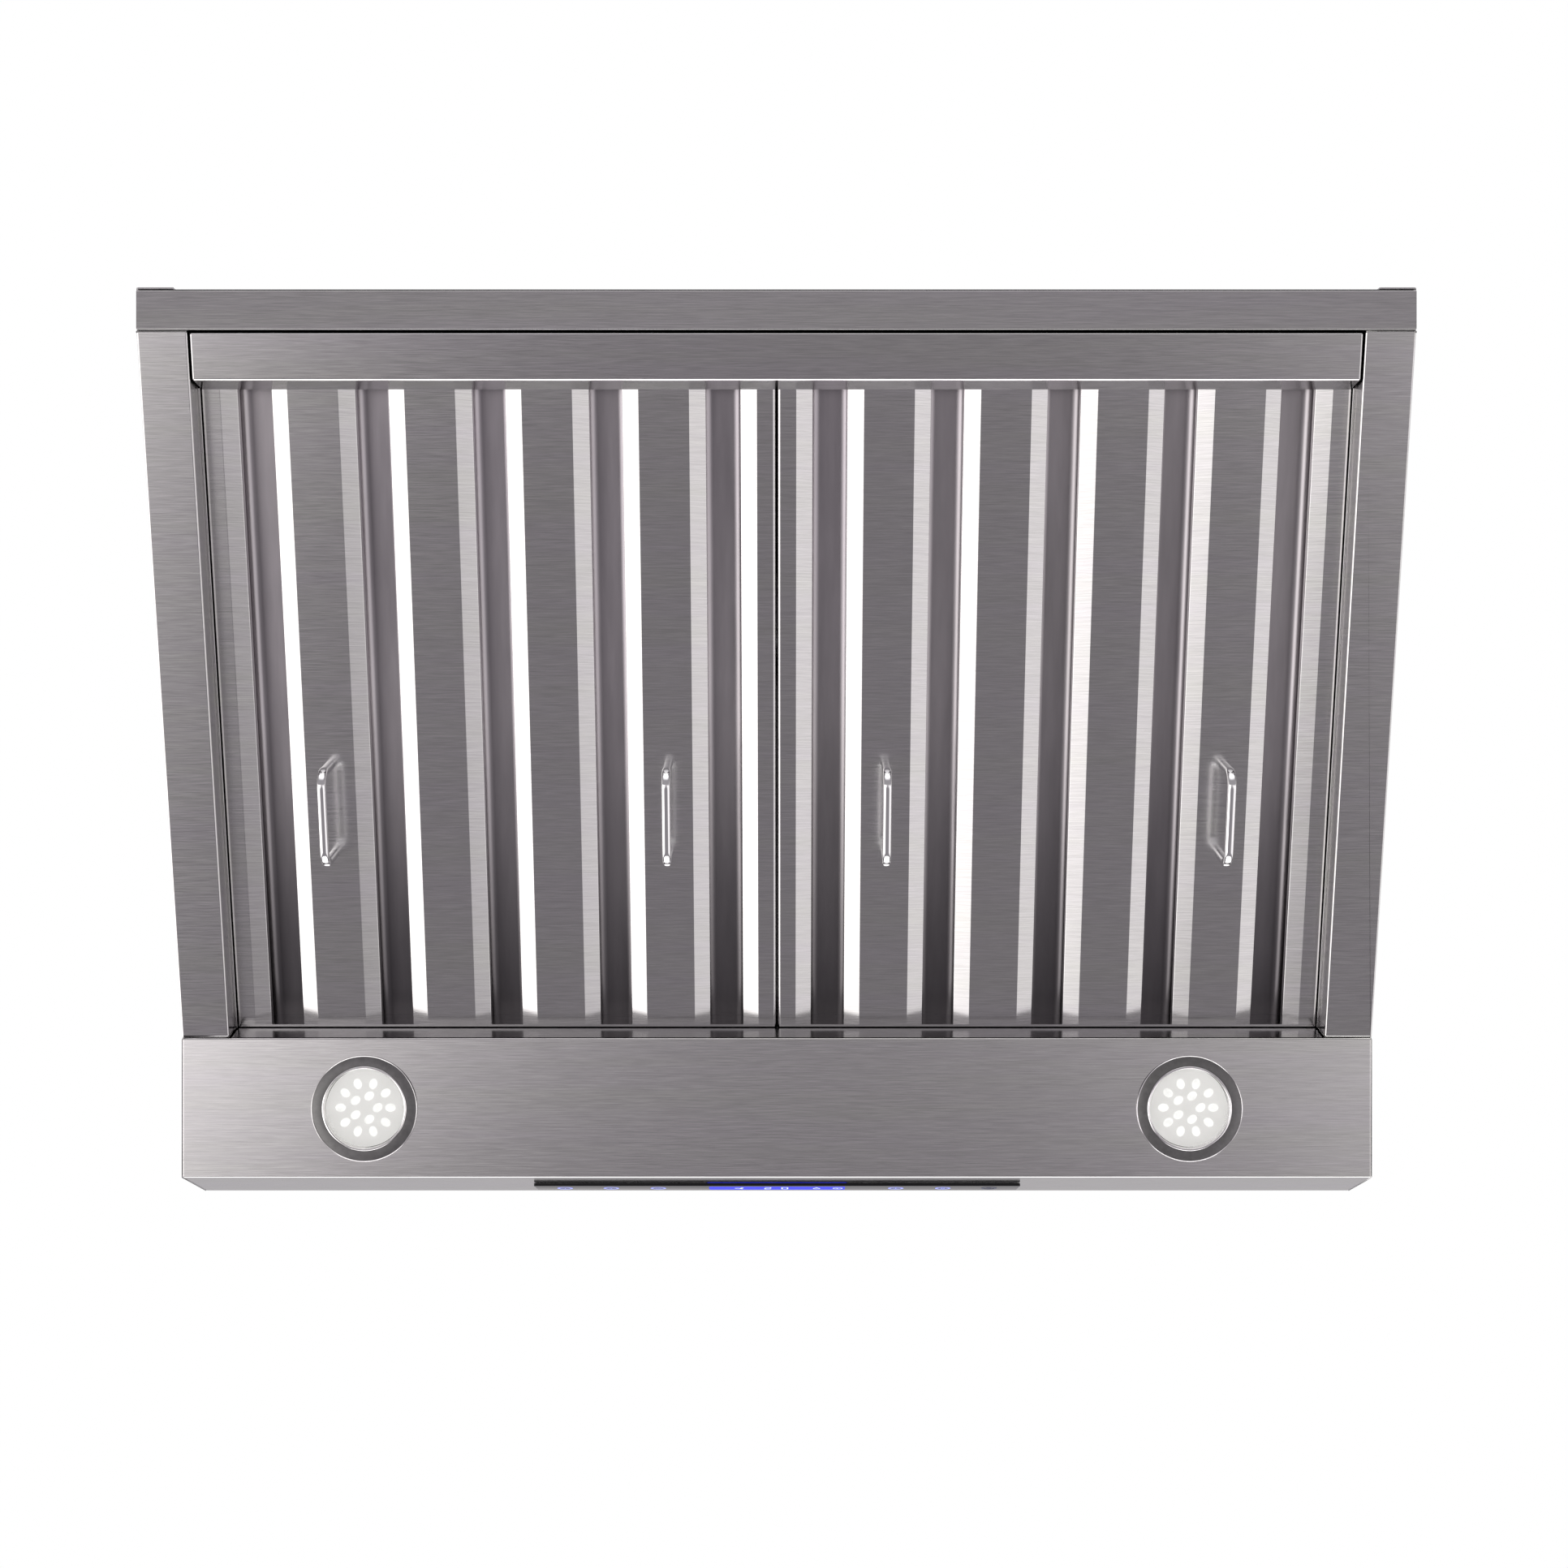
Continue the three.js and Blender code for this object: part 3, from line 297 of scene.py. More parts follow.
def folded_copy(node, name, fold, rim=0.2, least=2.5):
    """The CAD sheet as a new piece: its triangles merged and flat ones joined, its outer folds
    rounded to a radius and its cut rims just broken. An edge is a fold where it stands out and the
    faces on both sides of it reach further than the sheet is thick."""
    mesh = frame["nodes"][node].data.copy()
    shape = bmesh.new()
    shape.from_mesh(mesh)
    bmesh.ops.remove_doubles(shape, verts=shape.verts, dist=SAME_PLACE)
    bmesh.ops.dissolve_limit(shape, angle_limit=FLAT_WITHIN, verts=shape.verts, edges=shape.edges)
    weight = shape.edges.layers.float.new("bevel_weight_edge")
    for edge in shape.edges:
        if len(edge.link_faces) != 2 or edge.calc_face_angle_signed() < LEAST_FOLD:
            continue
        run = (edge.verts[1].co - edge.verts[0].co).normalized()
        reaches = []
        for face in edge.link_faces:
            across = face.normal.cross(run)
            spans = [vert.co.dot(across) for vert in face.verts]
            reaches.append(max(spans) - min(spans))
        edge[weight] = 1.0 if min(reaches) > least * MM else rim / fold
    shape.to_mesh(mesh)
    shape.free()
    mesh.name = name
    piece = bpy.data.objects.new(name, mesh)
    scene.collection.objects.link(piece)
    bevel = piece.modifiers.new("folds", "BEVEL")
    bevel.limit_method = "WEIGHT"
    bevel.width = fold * MM
    bevel.segments = FOLD_STEPS
    bevel.use_clamp_overlap = False
    bevel.harden_normals = True
    mesh.shade_smooth()
    mesh.set_sharp_from_angle(angle=np.radians(30))
    return piece


def finish_piece(piece, body, slot, material, *stands_for):
    """Material, body and the CAD nodes a piece stands for, in one call. The slot is not used."""
    piece.data.materials.clear()
    piece.data.materials.append(material)
    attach(piece, body)
    if stands_for:
        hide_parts(*stands_for)
    return piece


def folded_piece(node, name, fold, slot, material, body="hood"):
    """The rounded copy of a CAD sheet as a finished piece that stands for that sheet."""
    return finish_piece(folded_copy(node, name, fold), body, slot, material, node)


steel_across = brushed_steel("steel_brushed_across")
for side in ("left", "right"):
    folded_piece(f"{side}_side_panel", f"{side}_side_sheet", 1.2, "brushed_steel", steel_across)

# ---------------------------------------------------------------------------------------------
# Rear bar: a folded stainless strip that closes the hood along the wall. It runs full width under
# the side panels, and its front edge stands up behind the grease tray.
# ---------------------------------------------------------------------------------------------
folded_piece("rear_bar", "rear_bar_sheet", 1.1, "brushed_steel", steel_across)

# ---------------------------------------------------------------------------------------------
# Front panel: one sheet folded into the recess wall, the light panel, the leaned control band and
# the fascia, with round lamp holes and a window behind the glass.
# ---------------------------------------------------------------------------------------------
folded_piece("front_panel", "front_sheet", 1.2, "brushed_steel", steel_across)

# ---------------------------------------------------------------------------------------------
# Top and back panels: folded sheets against the cabinet and the wall. The top one is stainless
# and carries the duct and the cable inlet, and the back one is zinc coated.
# ---------------------------------------------------------------------------------------------


def galvanised(name, tone=0.55):
    """Zinc coated sheet: soft angular spangle in colour and roughness."""
    material, zinc, nodes, links = shader(name)
    where = nodes.new("ShaderNodeTexCoord")
    cells = nodes.new("ShaderNodeTexVoronoi")
    cells.inputs["Scale"].default_value = 240.0
    links.new(where.outputs["Object"], cells.inputs["Vector"])
    split = nodes.new("ShaderNodeSeparateColor")
    links.new(cells.outputs["Color"], split.inputs["Color"])
    factor = split.outputs["Red"]
    links.new(blended(nodes, links, factor, (tone * 0.95, tone * 0.97, tone),
                      (tone * 1.05, tone * 1.07, tone * 1.1)), zinc.inputs["Base Color"])
    links.new(ranged(nodes, links, factor, 0.4, 0.48), zinc.inputs["Roughness"])
    zinc.inputs["Metallic"].default_value = 1.0
    return material


zinc_sheet = galvanised("zinc_sheet")
folded_piece("top_panel", "top_sheet", 0.4, "brushed_steel", steel_across)
folded_piece("back_panel", "back_sheet", 1.0, "galvanised", zinc_sheet)

# ---------------------------------------------------------------------------------------------
# Control strip: a black glass bar stuck on the control band, with lit touch marks and a blue
# display shining through it.
# ---------------------------------------------------------------------------------------------
BAND_LEAN, BAND_RISE = 18.9, 56.8           # of the control band, from its foot to its head
GLASS_TAPER = 1.0 * MM                      # the glass is this much narrower at its top, each end


def from_corners(name, corners, faces):
    """A mesh piece from arrays of corners and faces, its faces turned to point outwards."""
    mesh = bpy.data.meshes.new(name)
    mesh.from_pydata(np.asarray(corners, float).tolist(), [], faces)
    tidy = bmesh.new()
    tidy.from_mesh(mesh)
    bmesh.ops.recalc_face_normals(tidy, faces=tidy.faces)
    tidy.to_mesh(mesh)
    tidy.free()
    mesh.shade_smooth()
    mesh.set_sharp_from_angle(angle=np.radians(32))
    piece = bpy.data.objects.new(name, mesh)
    scene.collection.objects.link(piece)
    return piece


def rings_to_faces(rings, around, closed_ends=True, closed_path=False):
    """Quads between rings of points, row by row, with a many-sided face on each open end."""
    row = np.arange(rings - (0 if closed_path else 1))[:, None]
    col = np.arange(around)[None, :]
    nxt = (col + 1) % around
    below = (row + 1) % rings
    quads = np.stack([row * around + col, row * around + nxt,
                      below * around + nxt, below * around + col], -1).reshape(-1, 4)
    faces = [tuple(int(i) for i in quad) for quad in quads]
    if closed_ends and not closed_path:
        faces.append(tuple(range(around)))
        faces.append(tuple(range((rings - 1) * around, rings * around)))
    return faces


band_up = np.array([0.0, -BAND_LEAN, BAND_RISE])
band_up /= np.linalg.norm(band_up)
band_out = np.cross((1.0, 0.0, 0.0), band_up)
glass_high = np.array(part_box("control_glass")[1])


def node_points(node):
    """A CAD node's vertices as an array."""
    data = frame["nodes"][node].data
    flat = np.zeros(len(data.vertices) * 3)
    data.vertices.foreach_get("co", flat)
    return flat.reshape(-1, 3)


def span(node, axis):
    """How far a CAD node reaches along an axis: lowest and highest."""
    reach = node_points(node) @ np.asarray(axis)
    return reach.min(), reach.max()


def slab(name, outline, low, high, place, edge=0.4, steps=4):
    """A flat plate with rounded edges: the outline is drawn in by a quarter round at both faces.
    Each ring is the outline shrunk towards its middle by the round's inset at that height."""
    outline = np.asarray(outline, float)
    turn = np.linspace(0.0, np.pi / 2, steps + 1)
    inset = edge * (1 - np.sin(turn))
    rise = edge * (1 - np.cos(turn))
    insets = np.concatenate([inset, inset[::-1]])
    heights = np.concatenate([low + rise, high - rise[::-1]])
    middle = outline.mean(0)
    half = np.abs(outline - middle).max(0)
    rings = [np.column_stack([middle + (outline - middle) * (1 - inset / half),
                              np.full(len(outline), height)])
             for inset, height in zip(insets, heights)]
    return from_corners(name, place(np.concatenate(rings)), rings_to_faces(len(rings), len(outline)))


def corner_rounded(corners, radius, steps=5):
    """A polygon with each corner turned into a quadratic curve of about that radius."""
    corners = np.asarray(corners, float)
    before, after = np.roll(corners, 1, 0), np.roll(corners, -1, 0)
    back = (before - corners) / np.linalg.norm(before - corners, axis=1, keepdims=True)
    ahead = (after - corners) / np.linalg.norm(after - corners, axis=1, keepdims=True)
    t = np.linspace(0.0, 1.0, steps + 1)[None, :, None]
    start, end = (corners + back * radius)[:, None], (corners + ahead * radius)[:, None]
    return ((1 - t) ** 2 * start + 2 * t * (1 - t) * corners[:, None] + t ** 2 * end).reshape(-1, 2)


glass_up = span("control_glass", band_up)
glass_out = span("control_glass", band_out)
low_half, top_half = glass_high[0], glass_high[0] - GLASS_TAPER


def on_band(points):
    """Places x, height up the band and distance out of it, measured from the hood's origin."""
    return points[:, :1] * (1, 0, 0) + points[:, 1:2] * band_up + points[:, 2:3] * band_out


glass_outline = corner_rounded([(-low_half, glass_up[0]), (low_half, glass_up[0]),
                                (top_half, glass_up[1]), (-top_half, glass_up[1])], 1.2 * MM)
glass = slab("control_glass_strip", glass_outline, glass_out[0], glass_out[1], on_band, 0.35 * MM)
black_glass, pane, nodes, links = shader("black_glass")
pane.inputs["Base Color"].default_value = (0.002, 0.002, 0.003, 1.0)
pane.inputs["Specular IOR Level"].default_value = 0.25
pane.inputs["Coat Weight"].default_value = 0.4
pane.inputs["Coat Roughness"].default_value = 0.02
smear = streaks(nodes, links, 0.0, (40.0, 40.0, 40.0), 5.0)
links.new(ranged(nodes, links, smear, 0.05, 0.12), pane.inputs["Roughness"])
finish_piece(glass, "hood", "black_glass", black_glass, "control_glass")

# ---------------------------------------------------------------------------------------------
# Control marks: what is lit behind the glass, drawn as thin plates on its face. A blue display
# with small signs and figures, and ringed touch marks on both sides of it.
# ---------------------------------------------------------------------------------------------
MARK_THICK = 0.05 * MM
glass_middle = (glass_up[0] + glass_up[1]) / 2
mark_foot = glass_out[1] + 0.01 * MM


def prism(outline):
    """A flat outline in millimetres, about the middle of the glass, as a plate: its corners are
    repeated at the two faces, and each side is a quad between them."""
    flat = np.asarray(outline, float) * MM
    count = len(flat)
    heights = np.repeat([mark_foot, mark_foot + MARK_THICK], count)
    corners = np.column_stack([np.tile(flat, (2, 1)) + (0.0, glass_middle), heights])
    return corners, rings_to_faces(2, count)


def bar_mark(x0, y0, x1, y1, wide):
    """A straight stroke between two points."""
    start, end = np.array([x0, y0], float), np.array([x1, y1], float)
    run = (end - start) / np.linalg.norm(end - start)
    side = np.array([-run[1], run[0]]) * wide / 2
    return prism([start - side, end - side, end + side, start + side])


def ring_mark(x, y, radius, wide, count=40):
    """A ring: a square section carried round a circle."""
    angle = np.linspace(0.0, 2 * np.pi, count, endpoint=False)[:, None]
    near, far = radius - wide / 2, radius + wide / 2
    reach = np.array([near, far, far, near]) * MM
    mark_top = mark_foot + MARK_THICK
    height = np.broadcast_to([mark_foot, mark_foot, mark_top, mark_top], (count, 4))
    corners = np.stack([x * MM + np.cos(angle) * reach,
                        y * MM + glass_middle + np.sin(angle) * reach, height], -1)
    return corners.reshape(-1, 3), rings_to_faces(count, 4, closed_path=True)


def figure(x, lit, wide=3.6, tall=7.2):
    """A seven bar figure: the strokes whose places, top first and clockwise, are in lit."""
    right, left, top, foot = x + wide / 2, x - wide / 2, tall / 2, -tall / 2
    strokes = [(left, top, right, top), (right, top, right, 0.0), (right, 0.0, right, foot),
               (left, foot, right, foot), (left, foot, left, 0.0), (left, 0.0, left, top),
               (left, 0.0, right, 0.0)]
    return [bar_mark(*strokes[place], 0.9) for place in lit]


def merged(shapes):
    """The corners and faces of several shapes as those of one."""
    firsts = np.cumsum([0] + [len(corners) for corners, _ in shapes[:-1]])
    faces = [tuple(int(corner + first) for corner in face)
             for first, (_, shape_faces) in zip(firsts, shapes) for face in shape_faces]
    return np.concatenate([corners for corners, _ in shapes]), faces


def marks(name, shapes, slot, material):
    """Several small plates as one piece on the glass."""
    corners, faces = merged(shapes)
    return finish_piece(from_corners(name, on_band(corners), faces), "hood", slot, material)


def lit(name, colour, strength):
    """A lit surface whose brightness drifts a little, as behind a diffusing film."""
    material, surface, nodes, links = shader(name)
    surface.inputs["Emission Strength"].default_value = strength
    cloud = streaks(nodes, links, 0.0, (160.0, 160.0, 160.0), 3.0)
    links.new(blended(nodes, links, cloud, tuple(0.8 * c for c in colour), colour),
              surface.inputs["Emission Color"])
    surface.inputs["Base Color"].default_value = (*(0.3 * c for c in colour), 1.0)
    return material


display_lit = lit("display_lit", (0.0, 0.012, 0.86), 1.0)
sign_lit = lit("sign_lit", (0.75, 0.85, 1.0), 1.0)
touch_lit = lit("touch_lit", (0.33, 0.36, 0.82), 1.0)
touch_dim = lit("touch_dim", (0.05, 0.055, 0.1), 1.0)
DISPLAY_HALF_WIDE, DISPLAY_HALF_TALL = 44.0, 6.6
FAN_AT, LAMP_AT, CLOCK_AT = 24.0, -25.6, -39.3     # middles of the signs, across the display
FIGURES = ((6, (0, 1, 6, 4, 3)), (-5, (0, 5, 4, 3, 2, 1)))
display_outline = corner_rounded([(-DISPLAY_HALF_WIDE, -DISPLAY_HALF_TALL),
                                  (DISPLAY_HALF_WIDE, -DISPLAY_HALF_TALL),
                                  (DISPLAY_HALF_WIDE, DISPLAY_HALF_TALL),
                                  (-DISPLAY_HALF_WIDE, DISPLAY_HALF_TALL)], 1.5)
marks("display_field", [prism(display_outline)], "display", display_lit)
mark_foot += 2 * MARK_THICK                        # what follows lies on the display's field
fan_sign = [bar_mark(FAN_AT + 0.9 * np.cos(t), 0.9 * np.sin(t),
                     FAN_AT + 3.4 * np.cos(t + 0.5), 3.4 * np.sin(t + 0.5), 1.5)
            for t in np.radians([90.0, 210.0, 330.0])] + [ring_mark(FAN_AT, 0, 0.6, 0.5, 16)]
lamp_sign = [ring_mark(LAMP_AT, 0.9, 2.0, 0.7, 24),
             bar_mark(LAMP_AT - 1.0, -2.2, LAMP_AT + 1.0, -2.2, 0.7),
             bar_mark(LAMP_AT - 0.6, -3.4, LAMP_AT + 0.6, -3.4, 0.7)]
clock_sign = [ring_mark(CLOCK_AT, 0, 2.9, 0.7, 32), bar_mark(CLOCK_AT, 0, CLOCK_AT, 2.0, 0.6),
              bar_mark(CLOCK_AT, 0, CLOCK_AT + 1.4, 0, 0.6)]
figures = [stroke for x, lit_bars in FIGURES for stroke in figure(x, lit_bars)]
marks("display_signs", fan_sign + lamp_sign + clock_sign + figures, "display", sign_lit)
TOUCH_RADIUS = 4.3
touch_signs = {
    "power": (137.5, [(0, 0.4, 0, 2.4)], touch_lit),
    "timer": (107.5, [(0, 0, 0, 2.0), (0, 0, 1.4, 0)], touch_lit),
    "slower": (77.0, [(-1.8, 0, 1.8, 0)], touch_lit),
    "faster": (-77.0, [(-1.8, 0, 1.8, 0), (0, -1.8, 0, 1.8)], touch_lit),
    "light": (-107.5, [(-1.2, -1.2, 1.2, 1.2), (-1.2, 1.2, 1.2, -1.2)], touch_lit),
    "clean": (-137.5, [(-1.5, -0.8, 1.5, -0.8), (-1.5, 0.8, 1.5, 0.8)], touch_dim),
}
for name, (x, strokes, film) in touch_signs.items():
    shapes = [bar_mark(x + x0, y0, x + x1, y1, 0.8) for x0, y0, x1, y1 in strokes]
    marks(f"touch_mark_{name}", [ring_mark(x, 0, TOUCH_RADIUS, 1.5), *shapes], "display", film)

# ---------------------------------------------------------------------------------------------
# Lamps: a dark satin ring pressed into the light panel, a clear lens, and behind it a white board
# with a painted glow and fifteen small emitters under moulded caps.
# ---------------------------------------------------------------------------------------------
UPRIGHT = (0, 1, 2)                                # a turned outline's own X, Y and Z


def lathed(name, profile, centre, segments=96, order=UPRIGHT):
    """A closed outline of radius and height turned about the vertical through a centre, or about
    another axis when the order of the coordinates is changed."""
    profile = np.asarray(profile, float)
    angle = np.linspace(0.0, 2 * np.pi, segments, endpoint=False)
    radius, height = profile[:, 0], profile[:, 1]
    x = np.cos(angle)[:, None] * radius
    y = np.sin(angle)[:, None] * radius
    z = np.broadcast_to(height, x.shape)
    points = np.stack([x, y, z], -1).reshape(-1, 3)[:, order] * MM + centre
    return from_corners(name, points, rings_to_faces(segments, len(profile), closed_path=True))


def plain(name, colour, rough, metal=0.0, wobble=0.06, scale=60.0, relief=0.0):
    """A plain finish whose colour and roughness drift a little over the surface."""
    material, base, nodes, links = shader(name)
    cloud = streaks(nodes, links, 0.0, (scale,) * 3, 5.0)
    low = tuple(c * (1 - wobble) for c in colour)
    high = tuple(min(c * (1 + wobble), 1.0) for c in colour)
    links.new(blended(nodes, links, cloud, low, high), base.inputs["Base Color"])
    links.new(ranged(nodes, links, cloud, rough * 0.85, rough * 1.15), base.inputs["Roughness"])
    base.inputs["Metallic"].default_value = metal
    if relief:
        bumped(nodes, links, cloud, relief, 0.0003, base)
    return material


def coat(material, *names):
    """Gives CAD nodes that stay as they are their material."""
    for name in names:
        data = frame["nodes"][name].data
        data.materials.clear()
        data.materials.append(material)


def dome(name, centre, turn, long, wide, tall, rings=6, around=24):
    """A low oval cap that hangs from its centre: at each step of a quarter circle the oval shrinks
    by the cosine and drops by the sine, and the oval's long axis lies at an angle from X."""
    climb = np.linspace(0.0, np.pi / 2, rings)[:, None]
    angle = np.linspace(0.0, 2 * np.pi, around, endpoint=False)
    shrink = np.maximum(np.cos(climb), 0.03)
    ahead, aside = long * shrink * np.cos(angle), wide * shrink * np.sin(angle)
    x = ahead * np.cos(turn) - aside * np.sin(turn)
    y = ahead * np.sin(turn) + aside * np.cos(turn)
    z = np.broadcast_to(-tall * np.sin(climb), x.shape)
    points = np.stack([x, y, z], -1).reshape(-1, 3) * MM + centre
    return from_corners(name, points, rings_to_faces(rings, around))


ring_metal = brushed_steel("ring_metal", 0.2, 0.42, 0.0, (300.0, 300.0, 300.0))
sleeve_chrome = brushed_steel("sleeve_chrome", 0.85, 0.08, 0.0, (200.0, 200.0, 200.0), 0.0)
board_white_painted_glow, board_surface, nodes, links = shader("board_white_painted_glow")
# Painted light: the board glows faintly, though it is no lamp.
board_surface.inputs["Emission Color"].default_value = (1.0, 0.995, 0.97, 1.0)
board_surface.inputs["Emission Strength"].default_value = 0.42
board_cloud = streaks(nodes, links, 0.0, (90.0, 90.0, 90.0), 4.0)
links.new(blended(nodes, links, board_cloud, (0.62, 0.62, 0.6), (0.72, 0.72, 0.7)),
          board_surface.inputs["Base Color"])
emitter_cap = lit("emitter_cap", (1.0, 1.0, 0.98), 1.0)
lens_clear, clear, nodes, links = shader("lens_clear")
clear.inputs["Base Color"].default_value = (0.98, 0.98, 0.975, 1.0)
clear.inputs["Transmission Weight"].default_value = 1.0
clear.inputs["IOR"].default_value = 1.2
haze = streaks(nodes, links, 0.0, (300.0, 300.0, 300.0), 3.0)
links.new(ranged(nodes, links, haze, 0.02, 0.06), clear.inputs["Roughness"])
LED_CIRCLES = ((15.9, 10), (7.8, 5))               # radius, and number of emitters on it
OUTER_CIRCLE = 10.0                                # past this radius an oval points outwards
INNER_TILT = np.radians(-38)
BOARD_RADIUS, BOARD_RISE, BOARD_SHEET = 25.0, 5.4, 1.2
EMITTER_RISE = 5.38
for side in ("left", "right"):
    low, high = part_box(f"{side}_lamp_bezel")
    centre = np.array([(low.x + high.x) / 2, (low.y + high.y) / 2, low.z])
    outer = (high.x - low.x) / 2 / MM
    rim = [(27.0, 0.35), (outer - 0.6, 0.35), (outer - 0.1, 0.6), (outer, 1.2), (27.2, 1.2),
           (27.2, 17.5), (27.0, 17.5)]
    finish_piece(lathed(f"{side}_lamp_ring", rim, centre), "hood", "lamp_ring", ring_metal,
                 f"{side}_lamp_bezel")
    turn = np.linspace(0, 2 * np.pi, 10, endpoint=False)
    bead = np.column_stack([outer - 0.32 + 0.3 * np.cos(turn), 0.32 + 0.3 * np.sin(turn)])
    finish_piece(lathed(f"{side}_lamp_bead", bead, centre), "hood", "chrome_wire", sleeve_chrome)
    sleeve = [(25.3, 0.9), (25.5, 0.25), (25.9, 0.02), (26.3, 0.02), (26.8, 0.3), (26.9, 1.0),
              (26.9, 12.0), (25.3, 12.0)]
    finish_piece(lathed(f"{side}_lamp_sleeve", sleeve, centre), "hood", "chrome_wire", sleeve_chrome)
    coat(lens_clear, f"{side}_lamp_lens")
    disc_angle = np.linspace(0, 2 * np.pi, 64, endpoint=False)
    disc = np.column_stack([np.cos(disc_angle), np.sin(disc_angle)]) * BOARD_RADIUS * MM + centre[:2]
    board_z = centre[2] + BOARD_RISE * MM
    board = slab(f"{side}_lamp_board", disc, board_z, board_z + BOARD_SHEET * MM,
                 lambda points: points, 0.1 * MM, 1)
    finish_piece(board, "hood", "lamp_lens", board_white_painted_glow)
    spots = [(radius, 2 * np.pi * i / count) for radius, count in LED_CIRCLES for i in range(count)]
    for number, (radius, angle) in enumerate(spots, 1):
        away = np.array([-np.cos(angle), -np.sin(angle), 0.0])
        place = centre + (away * radius + (0.0, 0.0, EMITTER_RISE)) * MM
        tilt = angle if radius > OUTER_CIRCLE else INNER_TILT
        emitter = dome(f"{side}_lamp_emitter_{number}", place, tilt, 3.3, 2.5, 1.2)
        finish_piece(emitter, "hood", "lamp_lens", emitter_cap)

# ---------------------------------------------------------------------------------------------
# Grease tray: a folded stainless trough across the rear, under the low ends of the filters. It
# is lifted out by hand to be emptied.
# ---------------------------------------------------------------------------------------------
folded_piece("grease_tray", "grease_tray_trough", 1.2, "brushed_steel", steel_across, "grease_tray")

# ---------------------------------------------------------------------------------------------
# Baffle filters: outer baffles face down, inner ones close the gaps from behind, and a frame of
# side rails and end plates holds both. Stainless, pressed, brushed crosswise.
# ---------------------------------------------------------------------------------------------
joints = {joint["name"]: joint for joint in frame["joints"]}
UP = -np.array(joints["grease_tray_release"]["axis"], float)     # square to the sloped underside
UP /= np.linalg.norm(UP)
FORWARD = np.cross((1.0, 0.0, 0.0), UP)                          # down the slope to the front
PIVOT = np.array(joints["right_filter_swing"]["pos_m"], float) * (0, 1, 1)
SLOPE = float(np.arctan2(UP[1], UP[2]))
BAFFLE_SHEET = 0.8
WELD = 0.3                       # baffles run this far past their solids, onto the end plates
# Painted shade on the inner baffles: their colour falls from whole at SHADE_REAR to SHADE_SHARE of
# itself at SHADE_FRONT, along Y.
SHADE_REAR, SHADE_FRONT, SHADE_SHARE = 0.06, -0.17, 0.33


def on_slope(points):
    """Places x, distance forward from the filters' hinge line and height square to the slope."""
    return PIVOT + points[:, :1] * (1, 0, 0) + points[:, 1:2] * FORWARD + points[:, 2:3] * UP


def rounded_line(points, radii, steps=6, margin=0.35):
    """A line of straight runs with each inner corner turned into an arc of its radius, and a point
    set just before and after each arc so that the runs stay flat when shaded smooth."""
    points = np.asarray(points, float)
    out = [points[0]]
    for corner, before, after, radius in zip(points[1:-1], points[:-2], points[2:], radii):
        a = (before - corner) / np.linalg.norm(before - corner)
        b = (after - corner) / np.linalg.norm(after - corner)
        half = np.arccos(np.clip(a @ b, -1, 1)) / 2
        tangent = radius / np.tan(half)
        centre = corner + (a + b) / np.linalg.norm(a + b) * radius / np.sin(half)
        first, last = corner + a * tangent - centre, corner + b * tangent - centre
        sweep = np.pi - 2 * half
        share = np.linspace(0.0, 1.0, steps + 1)[:, None]
        arc = (np.sin((1 - share) * sweep) * first + np.sin(share * sweep) * last) / np.sin(sweep)
        out += [corner + a * (tangent + margin), *(centre + arc), corner + b * (tangent + margin)]
    return np.array([*out, points[-1]])


def sheet_loop(line, thick):
    """A closed outline of bent sheet: the line, and the same line set off square to itself."""
    step = np.diff(line, axis=0)
    normal = np.column_stack([-step[:, 1], step[:, 0]]) / np.linalg.norm(step, axis=1)[:, None]
    first, last = np.vstack([normal[:1], normal]), np.vstack([normal, normal[-1:]])
    reach = thick / (1 + (first * last).sum(1))
    return np.vstack([line, (line + (first + last) * reach[:, None])[::-1]])


def carried(name, loop, stations, place):
    """A closed outline carried straight through stations: corner = place(u, station, v)."""
    loop = np.asarray(loop, float)
    stations = np.asarray(stations, float)
    grid = np.stack([np.broadcast_to(loop[:, 0], (len(stations), len(loop))),
                     np.broadcast_to(stations[:, None], (len(stations), len(loop))),
                     np.broadcast_to(loop[:, 1], (len(stations), len(loop)))], -1).reshape(-1, 3)
    return from_corners(name, place(grid * MM), rings_to_faces(len(stations), len(loop)))


def slope_box(node):
    """A CAD node's reach across, forward and up the slope, in millimetres."""
    points = node_points(node) - PIVOT
    local = np.column_stack([points[:, 0], points @ FORWARD, points @ UP]) / MM
    return local.min(0), local.max(0)


def painted_shade_forward(material, rear, front, share):
    """Paints shade into a steel's colour: scales it down to a share of itself between two places along
    Y.
    """
    nodes, links = material.node_tree.nodes, material.node_tree.links
    steel = nodes["Principled BSDF"].inputs["Base Color"]
    where = nodes.new("ShaderNodeTexCoord")
    axes = nodes.new("ShaderNodeSeparateXYZ")
    links.new(where.outputs["Object"], axes.inputs["Vector"])
    painted_shade_ramp = nodes.new("ShaderNodeMapRange")
    painted_shade_ramp.interpolation_type = "SMOOTHSTEP"
    painted_shade_ramp.inputs["From Min"].default_value = front
    painted_shade_ramp.inputs["From Max"].default_value = rear
    painted_shade_ramp.inputs["To Min"].default_value = share
    painted_shade_ramp.inputs["To Max"].default_value = 1.0
    links.new(axes.outputs["Y"], painted_shade_ramp.inputs["Value"])
    links.new(multiplied(nodes, links, steel.links[0].from_socket, painted_shade_ramp.outputs["Result"]), steel)


steel_baffle = brushed_steel("steel_baffle", 0.6, 0.18, SLOPE, (55.0, 1900.0, 6.0))
steel_mill_painted_shade = brushed_steel("mill_finish_steel_painted_shade", 0.43, 0.3, SLOPE, (60.0, 7.0, 6.0), 0.003,
                           (1.0, 0.955, 1.0))
# Painted shade: the inner baffles' colour is darkened towards the front.
painted_shade_forward(steel_mill_painted_shade, SHADE_REAR, SHADE_FRONT, SHADE_SHARE)


